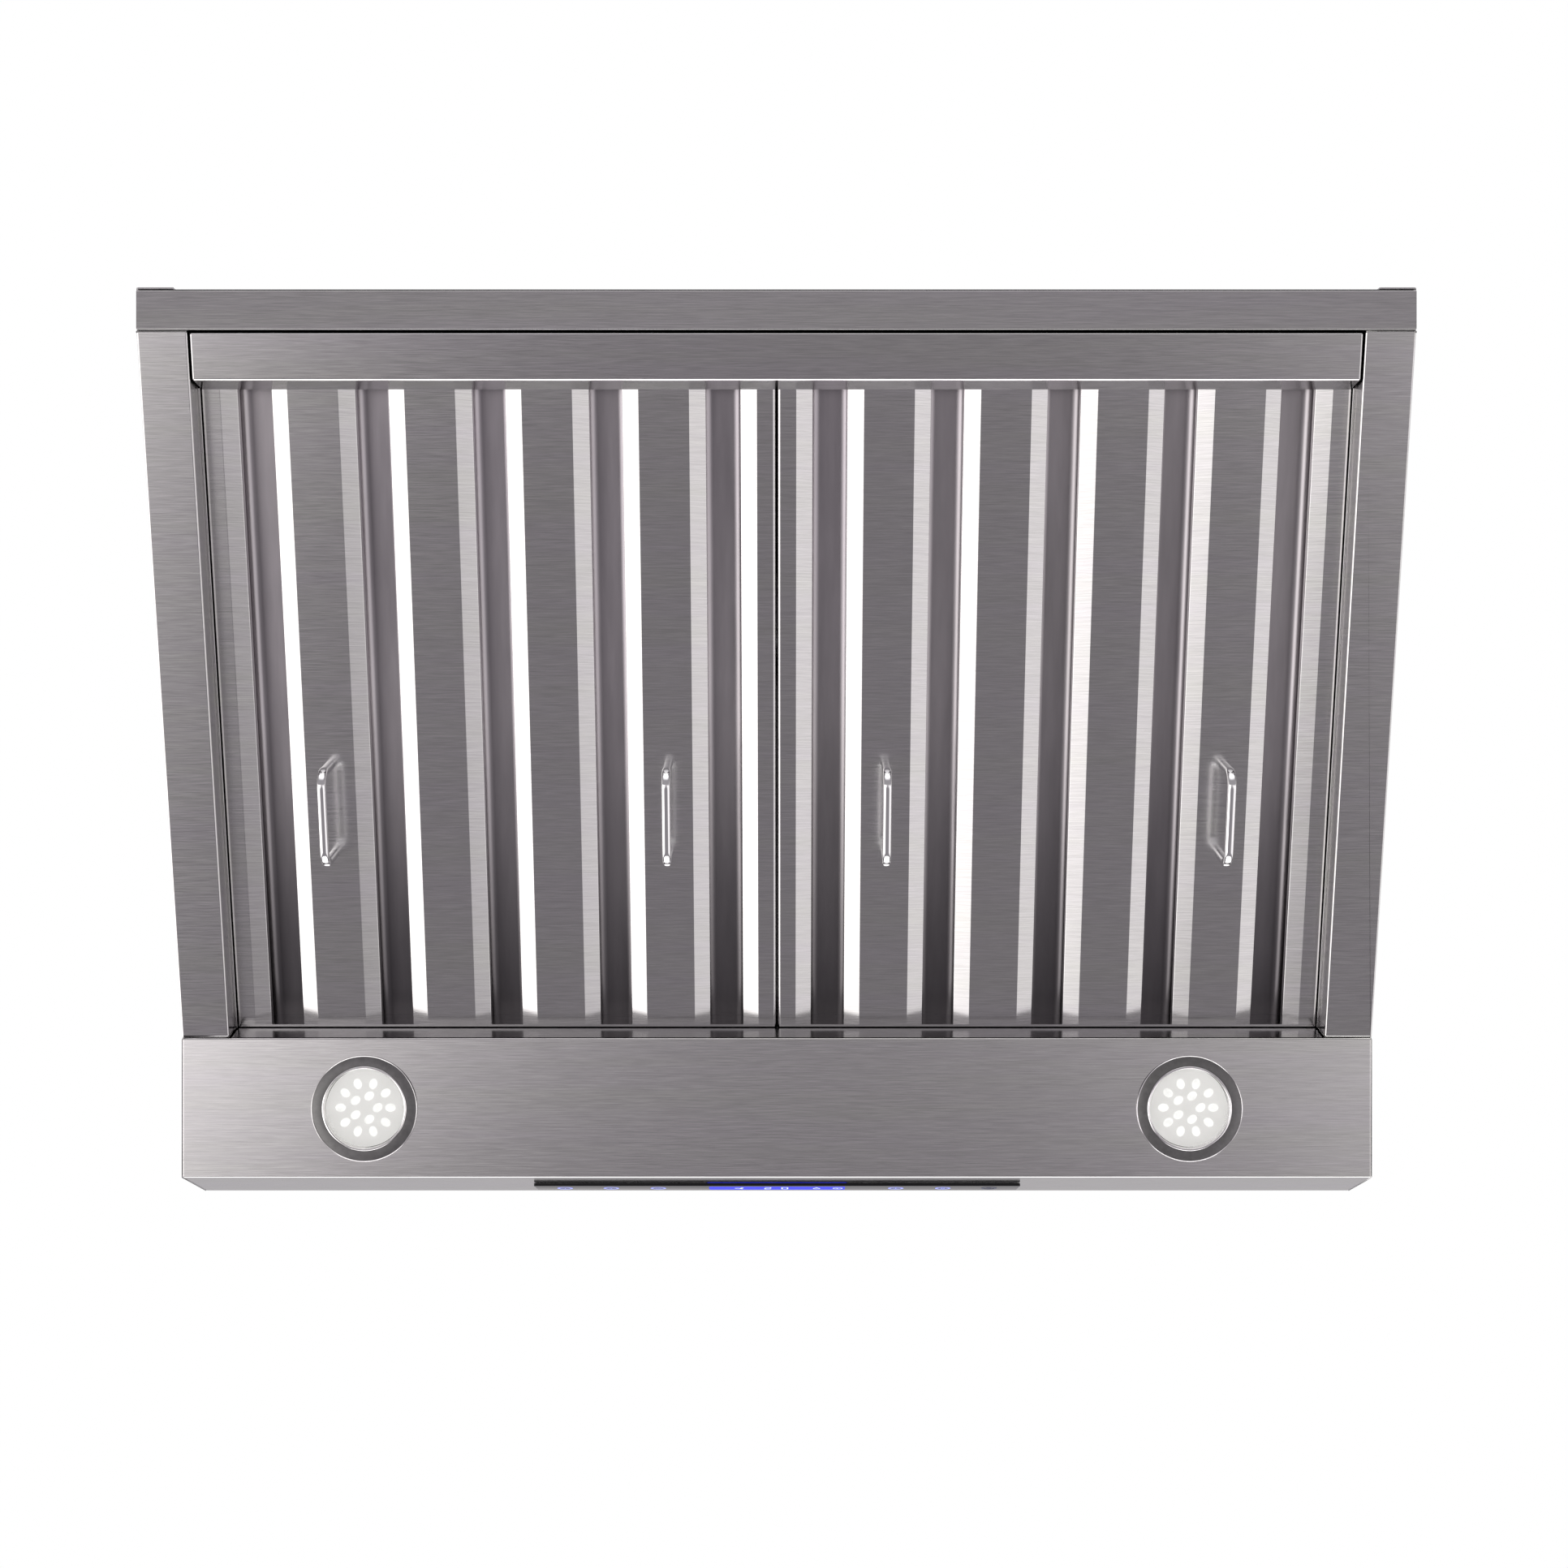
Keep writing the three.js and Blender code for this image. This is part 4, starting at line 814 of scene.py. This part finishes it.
def baffle(name, node, line, radii, body, steel):
    """A baffle carried down the slope between the ends of its CAD node."""
    low, high = slope_box(node)
    middle = (low[0] + high[0]) / 2
    loop = sheet_loop(rounded_line(line, radii), BAFFLE_SHEET) + (middle, 0.0)
    piece = carried(name, loop, (low[1] - WELD, high[1] + WELD), on_slope)
    return finish_piece(piece, body, "baffle_steel", steel, node)


FLAT, WING, RISE, LIP = 15.3, 25.3, 3.2, 8.0
LEG, WEB, FOOT = 14.2, 21.0, 7.5
SIDE_FLAT = 11.3
FRAME_RETURN = 8.0
OUTER_BENDS, INNER_BENDS = (0.4, 0.8, 0.8, 0.4), (7.5, 7.5)
RAIL_BENDS = (1.0, 1.8, 0.8, 0.4)
RAIL_CLEAR = 0.02                # between a rail and an end plate
END_SHEET = 1.0
END_PROUD = 0.45                 # the front end plate stands this far past its solid
MIDDLE_PROUD = 0.5               # the rails that meet in the middle stand this far out
outer_line = [(-WING, LIP), (-WING, RISE), (-FLAT, 0.0), (FLAT, 0.0), (WING, RISE), (WING, LIP)]
inner_line = [(LEG, FOOT), (LEG, WEB), (-LEG, WEB), (-LEG, FOOT)]
for side in ("left", "right"):
    body = f"{side}_filter"
    for number in range(1, 5):
        baffle(f"{side}_baffle_face_{number}", f"{side}_outer_baffle_{number}", outer_line,
               OUTER_BENDS, body, steel_baffle)
    for number in range(1, 6):
        baffle(f"{side}_baffle_back_{number}", f"{side}_inner_baffle_{number}", inner_line,
               INNER_BENDS, body, steel_mill_painted_shade)
    low, high = slope_box(f"{side}_filter_frame")
    middle = (low[0] + high[0]) / 2
    half = (high[0] - low[0]) / 2
    tall = high[2] - low[2]
    wing_end = -half + SIDE_FLAT + WING - FLAT
    rail_line = [(-half + FRAME_RETURN, tall), (-half, tall), (-half, 0.0), (-half + SIDE_FLAT, 0.0),
                 (wing_end, RISE), (wing_end, LIP)]
    rail_loop = sheet_loop(rounded_line(rail_line, RAIL_BENDS), BAFFLE_SHEET)
    rail_ends = (low[1] + END_SHEET + RAIL_CLEAR, high[1] - END_SHEET - RAIL_CLEAR)
    for end, mirror in (("left", 1), ("right", -1)):
        proud = 0.0 if end == side else MIDDLE_PROUD
        loop = rail_loop * (mirror, 1) + (middle - mirror * proud, 0.0)
        rail = carried(f"{side}_filter_{end}_rail", loop, rail_ends, on_slope)
        stands_for = (f"{side}_filter_frame",) if end == "left" else ()
        finish_piece(rail, body, "baffle_steel", steel_baffle, *stands_for)
    plate_outline = corner_rounded([(-half, 0.0), (half, 0.0), (half, tall), (-half, tall)], 1.2)
    for end, start, thick in (("rear", low[1], END_SHEET),
                              ("front", high[1] - END_SHEET, END_SHEET + END_PROUD)):
        plate = carried(f"{side}_filter_{end}_end", plate_outline + (middle, 0.0),
                        (start, start + thick), on_slope)
        finish_piece(plate, body, "baffle_steel", steel_baffle)

# ---------------------------------------------------------------------------------------------
# Recess trims: thin stainless strips clipped over the raised edges of the side panels, which
# narrow the gap beside the filters.
# ---------------------------------------------------------------------------------------------
TRIM_INNER, TRIM_OUTER = 347.45, 347.97
TRIM_LOW, TRIM_TOP = -0.7, 1.8
TRIM_ENDS = (-1.0, 438.0)
trim_outline = corner_rounded([(TRIM_INNER, TRIM_LOW), (TRIM_OUTER, TRIM_LOW),
                               (TRIM_OUTER, TRIM_TOP), (TRIM_INNER, TRIM_TOP)], 0.22, 4)
for side, mirror in (("left", -1), ("right", 1)):
    trim = carried(f"{side}_recess_trim", trim_outline * (mirror, 1), TRIM_ENDS, on_slope)
    finish_piece(trim, "hood", "brushed_steel", steel_across)

# ---------------------------------------------------------------------------------------------
# Filter handles: chromed round wire bent to a U, its feet fixed through the baffle faces.
# ---------------------------------------------------------------------------------------------
WIRE_RADIUS = 2.7
WIRE_BEND = 9.0
FOOT_AT = -0.2                   # the wire ends this far short of the baffle faces


def wire(name, path, radius, place, sides=32, flatness=2.8):
    """Drawn wire along a flat path of forward and height. Each ring lies in the path's normal and
    the X axis, and is a superellipse: each axis is the radius times the sine or the cosine raised
    to two over the flatness, with its sign kept."""
    path = np.asarray(path, float)
    run = np.gradient(path, axis=0)
    run /= np.linalg.norm(run, axis=1)[:, None]
    normal = np.column_stack([-run[:, 1], run[:, 0]])
    turn = np.linspace(0, 2 * np.pi, sides, endpoint=False)
    rise = radius * np.sign(np.cos(turn)) * np.abs(np.cos(turn)) ** (2 / flatness)
    side = radius * np.sign(np.sin(turn)) * np.abs(np.sin(turn)) ** (2 / flatness)
    ahead = path[:, None, 0] + rise * normal[:, None, 0]
    height = path[:, None, 1] + rise * normal[:, None, 1]
    across = np.broadcast_to(side, ahead.shape)
    points = np.stack([across, ahead, height], -1).reshape(-1, 3)
    return from_corners(name, place(points * MM), rings_to_faces(len(path), sides))


chrome, bright, nodes, links = shader("chrome")
bright.inputs["Metallic"].default_value = 1.0
bright.inputs["Base Color"].default_value = (0.86, 0.86, 0.87, 1.0)
polish = streaks(nodes, links, 0.0, (150.0, 150.0, 150.0), 4.0)
links.new(ranged(nodes, links, polish, 0.025, 0.05), bright.inputs["Roughness"])
for side in ("left", "right"):
    for number in (1, 2):
        node = f"{side}_handle_{number}"
        low, high = slope_box(node)
        middle = np.array([(low[0] + high[0]) / 2 * MM, 0.0, 0.0])
        back, ahead, bottom = low[1] + WIRE_RADIUS, high[1] - WIRE_RADIUS, low[2] + WIRE_RADIUS
        bow = rounded_line([(back, FOOT_AT), (back, bottom), (ahead, bottom), (ahead, FOOT_AT)],
                           (WIRE_BEND, WIRE_BEND), 12)
        handle = wire(f"{side}_filter_handle_{number}", bow, WIRE_RADIUS,
                      lambda points: on_slope(points + middle))
        finish_piece(handle, f"{side}_filter", "chrome_wire", chrome, node)

# ---------------------------------------------------------------------------------------------
# Duct collar: galvanised spigot, spun with a flange and a stop bead, its top edge rolled, and
# fixed to the top panel. A steel pin across it carries both damper flaps.
# ---------------------------------------------------------------------------------------------
ALONG_X = (2, 0, 1)                                # a turned outline laid along X


def rod(name, line, centre, order=ALONG_X, segments=32):
    """A solid turned from a line of radius and distance along its axis, closed at both ends. It
    lies along X unless the order of the coordinates is changed."""
    line = np.asarray(line, float)
    angle = np.linspace(0.0, 2 * np.pi, segments, endpoint=False)
    x, y = line[:, :1] * np.cos(angle), line[:, :1] * np.sin(angle)
    points = np.stack([x, y, np.broadcast_to(line[:, 1:], x.shape)], -1).reshape(-1, 3)[:, order]
    return from_corners(name, points * MM + centre, rings_to_faces(len(line), segments))


DUCT_Y, DUCT_RADIUS = 141.0, 76.2
PIN_RISE = 22.0
bare_steel = brushed_steel("bare_steel", 0.5, 0.25, 0.0, (400.0, 400.0, 400.0))
duct_middle = np.array([0.0, DUCT_Y, 0.0]) * MM
bulge = np.linspace(-np.pi / 2, np.pi / 2, 9)
bead = np.column_stack([DUCT_RADIUS + 1.4 * np.cos(bulge), 34.0 + 1.8 * np.sin(bulge)])
collar_line = [(90.2, 0.3), (90.2, 1.3), (77.8, 1.3), (76.7, 1.7), (DUCT_RADIUS, 2.8), *bead,
               (DUCT_RADIUS, 43.4), (76.5, 44.2), (DUCT_RADIUS, 44.9), (75.6, 45.0), (75.2, 44.4),
               (75.2, 0.3)]
collar = lathed("duct_collar_spigot", collar_line, duct_middle, 128)
finish_piece(collar, "hood", "galvanised", zinc_sheet, "duct_collar")
pin_line = [(1.2, -75.4), (1.5, -75.0), (1.5, 75.0), (1.2, 75.4)]
pin = rod("damper_pin", pin_line, duct_middle + (0, 0, PIN_RISE * MM))
finish_piece(pin, "hood", "shaft_steel", bare_steel)

# ---------------------------------------------------------------------------------------------
# Damper flaps: two half discs of galvanised sheet with pressed ribs, which hang on the pin and
# are lifted by the air.
# ---------------------------------------------------------------------------------------------
FLAP_RADIUS, FLAP_EDGE = 72.2, 2.4
FLAP_LOW, FLAP_TOP = 21.6, 22.4
RIBS_X, RIB_FORWARD = (-34.0, 0.0, 34.0), 33.0
flap_start = np.arcsin(FLAP_EDGE / FLAP_RADIUS)
flap_turn = np.linspace(flap_start, np.pi - flap_start, 60)
for side, toward in (("front", -1.0), ("rear", 1.0)):
    rim_line = np.column_stack([np.cos(flap_turn), toward * np.sin(flap_turn)]) * FLAP_RADIUS * MM
    flap = slab(f"{side}_flap_sheet", rim_line + duct_middle[:2], FLAP_LOW * MM, FLAP_TOP * MM,
                lambda points: points, 0.15 * MM, 2)
    finish_piece(flap, f"{side}_flap", "galvanised", zinc_sheet, f"{side}_damper_flap")
    for number, x in enumerate(RIBS_X, 1):
        foot = duct_middle + np.array([x, toward * RIB_FORWARD, FLAP_TOP - 0.05]) * MM
        rib = dome(f"{side}_flap_rib_{number}", foot, np.pi / 2, 22.0, 2.6, -1.1)
        finish_piece(rib, f"{side}_flap", "galvanised", zinc_sheet)

# ---------------------------------------------------------------------------------------------
# Blower scrolls: galvanised housings, each with a rolled inlet mouth on its outer face.
# ---------------------------------------------------------------------------------------------
fan_middle = np.array([0.0, 104.0, -80.0]) * MM
MOUTH_RADIUS, MOUTH_X = 35.0, 129.6
turn = np.linspace(0.0, 2 * np.pi, 14, endpoint=False)
for side, toward in (("left", -1.0), ("right", 1.0)):
    folded_piece(f"{side}_blower_scroll", f"{side}_scroll_housing", 1.0, "galvanised", zinc_sheet)
    mouth_line = np.column_stack([MOUTH_RADIUS + 1.9 * np.cos(turn),
                                  toward * (MOUTH_X + 1.5 * np.sin(turn))])
    mouth = lathed(f"{side}_scroll_mouth", mouth_line, fan_middle, 96, ALONG_X)
    finish_piece(mouth, "hood", "galvanised", zinc_sheet)

# ---------------------------------------------------------------------------------------------
# Fan wheels: curved blades between a back plate with a hub and two rims, zinc coated and riveted,
# pressed on one shaft that runs through the motor.
# ---------------------------------------------------------------------------------------------
wheel_coating = plain("wheel_coating", (0.5, 0.51, 0.52), 0.38, 0.8)
BLADES = 24
BLADE_INNER, BLADE_OUTER = 32.6, 40.6
BLADE_SWEEP = 0.2
BLADE_HALF = 0.4
WHEEL_NEAR, WHEEL_FAR = 56.0, 118.0
BLADE_POINTS = 9                 # along each face of a blade
share = np.linspace(0.0, 1.0, BLADE_POINTS)
face_reach = BLADE_INNER + (BLADE_OUTER - BLADE_INNER) * share
face_lag = BLADE_SWEEP * np.sin(share * np.pi / 2)
reach = np.concatenate([face_reach, face_reach[::-1]])
lag = np.concatenate([face_lag - BLADE_HALF / face_reach, (face_lag + BLADE_HALF / face_reach)[::-1]])
turn = np.arange(BLADES)[:, None] * 2 * np.pi / BLADES + lag
sections = np.stack([reach * np.cos(turn), reach * np.sin(turn)], -1)
WHEEL_TURNINGS = (
    ("near_rim", [(36.2, 56.0), (40.6, 56.0), (41.0, 56.4), (41.0, 57.8), (40.6, 58.2), (36.2, 58.2)]),
    ("far_rim", [(36.2, 115.8), (40.6, 115.8), (41.0, 116.2), (41.0, 117.6), (40.6, 118.0),
                 (36.6, 118.0), (36.2, 117.6)]),
    ("plate", [(11.6, 56.2), (36.0, 56.2), (37.0, 56.4), (37.0, 57.7), (22.0, 57.7), (19.0, 59.2),
               (11.6, 59.2)]),
    ("hub", [(4.0, 56.0), (11.4, 56.0), (12.0, 56.6), (12.0, 67.4), (11.4, 68.0), (4.0, 68.0)]))
for side, toward in (("left", -1.0), ("right", 1.0)):
    ends = np.array([WHEEL_NEAR + 1.0, WHEEL_FAR - 1.0]) * toward
    blades = [(np.column_stack([np.repeat(ends, 2 * BLADE_POINTS), np.tile(blade, (2, 1))]),
               rings_to_faces(2, 2 * BLADE_POINTS)) for blade in sections]
    corners, faces = merged(blades)
    wheel = from_corners(f"{side}_wheel_blades", corners * MM + fan_middle, faces)
    finish_piece(wheel, "blower_rotor", "wheel_coating", wheel_coating, f"{side}_fan_wheel")
    for name, line in WHEEL_TURNINGS:
        ring = lathed(f"{side}_wheel_{name}", np.array(line) * (1.0, toward), fan_middle, 72, ALONG_X)
        finish_piece(ring, "blower_rotor", "wheel_coating", wheel_coating)
shaft = rod("blower_shaft", [(3.4, -113.0), (3.95, -112.4), (3.95, 112.4), (3.4, 113.0)], fan_middle)
finish_piece(shaft, "blower_rotor", "shaft_steel", bare_steel, "fan_shaft")

# ---------------------------------------------------------------------------------------------
# Motor: a painted steel barrel with pressed end caps and bearing bosses, held in a galvanised hoop
# that hangs from the plenum.
# ---------------------------------------------------------------------------------------------
motor_paint = plain("motor_paint", (0.09, 0.095, 0.1), 0.42, 0.3)
BOLT_CIRCLE = 29.0
half_motor = np.array([(4.3, 45.0), (15.0, 45.0), (16.0, 44.3), (18.0, 41.0), (18.4, 38.8),
                       (33.0, 38.0), (36.4, 37.1), (39.2, 35.6), (40.0, 33.8), (40.0, 29.2),
                       (39.2, 28.6), (39.2, 12.4), (40.0, 11.8)])
motor_line = np.vstack([half_motor, (half_motor * (1, -1))[::-1]])
motor = lathed("motor_barrel", motor_line, fan_middle, 96, ALONG_X)
finish_piece(motor, "hood", "motor_paint", motor_paint, "blower_motor")
for end in (-1, 1):
    for number, turn in enumerate(np.radians([45, 135, 225, 315]), 1):
        place = fan_middle + np.array([0.0, np.cos(turn), np.sin(turn)]) * BOLT_CIRCLE * MM
        line = np.array([(2.9, 37.6), (2.9, 39.4), (2.3, 40.2), (0.9, 40.5)]) * (1, end)
        name = f"motor_bolt_{'left' if end < 0 else 'right'}_{number}"
        finish_piece(rod(name, line, place, segments=6), "hood", "shaft_steel", bare_steel)
for node, name in (("motor_bracket", "motor_hoop"), ("outlet_plenum", "plenum_box"),
                   ("front_partition", "partition_sheet")):
    folded_piece(node, name, 0.8, "galvanised", zinc_sheet)

# ---------------------------------------------------------------------------------------------
# Junction box: a galvanised box under the cable inlet, closed by a screwed lid with a pressed
# round, and a black snap-in bushing through the top panel.
# ---------------------------------------------------------------------------------------------
black_plastic = plain("black_plastic", (0.03, 0.03, 0.033), 0.5, relief=0.1, scale=900.0)
CABLE_X, LID_FACE = 245.0, -43.3
for node in ("junction_box", "junction_box_cover"):
    folded_piece(node, f"{node}_sheet", 1.0, "galvanised", zinc_sheet)
lid_middle = np.array([CABLE_X, 232.0, LID_FACE]) * MM
round_line = [(8.0, 0.1), (8.3, -0.5), (10.2, -0.5), (10.5, 0.1)]
finish_piece(lathed("lid_round", round_line, lid_middle, 48), "hood", "galvanised", zinc_sheet)
inlet_middle = np.array([CABLE_X, 235.0, 0.0]) * MM
inlet_line = [(6.5, 2.1), (7.0, 2.6), (12.4, 2.6), (13.6, 2.0), (14.0, 1.0), (13.9, 0.1),
              (10.7, 0.1), (10.7, -1.3), (12.2, -2.2), (11.4, -5.0), (10.2, -8.6), (9.6, -9.0),
              (6.9, -9.0), (6.5, -8.6)]
bushing = lathed("inlet_bushing", inlet_line, inlet_middle, 64)
finish_piece(bushing, "hood", "black_plastic", black_plastic, "cable_bushing")

# ---------------------------------------------------------------------------------------------
# Run capacitor: a plastic can with a rolled rim and two blade terminals, clipped by the plenum.
# ---------------------------------------------------------------------------------------------
can_middle = np.array([178.0, 161.0, -20.0]) * MM
TERMINALS_Y = (-4.5, 4.5)
can_paint = plain("can_paint", (0.55, 0.56, 0.57), 0.36, 0.5)
can_line = [(11.4, -28.0), (12.6, -27.4), (13.0, -26.2), (13.0, 20.8), (12.5, 21.6), (12.5, 22.4),
            (13.0, 23.2), (13.0, 24.6), (12.2, 25.4), (11.2, 25.2), (10.8, 24.0)]
can = rod("capacitor_can", can_line, can_middle, segments=64)
finish_piece(can, "hood", "capacitor_case", can_paint, "run_capacitor")
terminal_line = [(1.6, 23.8), (1.6, 27.0), (1.0, 28.0)]
for number, y in enumerate(TERMINALS_Y, 1):
    terminal = rod(f"capacitor_terminal_{number}", terminal_line, can_middle + (0, y * MM, 0),
                   segments=12)
    finish_piece(terminal, "hood", "shaft_steel", bare_steel)

# ---------------------------------------------------------------------------------------------
# Catches, lamp cans and control housing: black moulded plastic. The board and the display module
# sit in the housing behind the glass.
# ---------------------------------------------------------------------------------------------
for node, name, fold in (("left_filter_catch", "left_catch_block", 1.0),
                         ("right_filter_catch", "right_catch_block", 1.0),
                         ("control_housing", "control_shell", 1.0),
                         ("left_lamp_housing", "left_lamp_can", 0.5),
                         ("right_lamp_housing", "right_lamp_can", 0.5)):
    folded_piece(node, name, fold, "black_plastic", black_plastic)
board_green = plain("board_green", (0.03, 0.14, 0.06), 0.4)
display_blue = lit("display_blue", (0.01, 0.03, 0.9), 1.0)
coat(board_green, "control_board")
coat(display_blue, "display_module")

# ---------------------------------------------------------------------------------------------
# Screws and rivets: low round heads with a socket, along the top panel, round the duct flange, on
# the back panel and on the junction box lid.
# ---------------------------------------------------------------------------------------------
HEAD = np.array([(3.7, -0.05), (3.7, 0.35), (3.2, 0.8), (2.2, 1.05), (1.5, 1.05), (1.35, 0.5)])
TO_WALL = (0, 2, 1)                                # a turned outline that points at the wall
FLANGE_CIRCLE, FLANGE_TOP = 83.4, 1.3
BACK_FACE = 278.4
fixings = [("top_side", (x, y, 0.0), UPRIGHT, 1)
           for x in (-370.0, 370.0) for y in (-225.0, -75.0, 75.0, 225.0)]
fixings += [("top_front", (x, -273.0, 0.0), UPRIGHT, 1) for x in (-255.0, -85.0, 85.0, 255.0)]
fixings += [("duct_flange", (FLANGE_CIRCLE * np.cos(turn), DUCT_Y + FLANGE_CIRCLE * np.sin(turn),
                             FLANGE_TOP), UPRIGHT, 1)
            for turn in np.radians([30.0, 90.0, 150.0, 210.0, 270.0, 330.0])]
fixings += [("back", (x, BACK_FACE, z), TO_WALL, 1)
            for z in (-9.0, -190.0) for x in (-330.0, -110.0, 110.0, 330.0)]
fixings += [("lid", (x, 210.0, LID_FACE), UPRIGHT, -1) for x in (198.0, 292.0)]
for number, (where, place, order, toward) in enumerate(fixings, 1):
    screw = rod(f"screw_{where}_{number}", HEAD * (1, toward), np.array(place) * MM, order, 24)
    finish_piece(screw, "hood", "shaft_steel", bare_steel)

# ---------------------------------------------------------------------------------------------
# The box of the CAD model and of these looks.
# ---------------------------------------------------------------------------------------------
low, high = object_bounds()
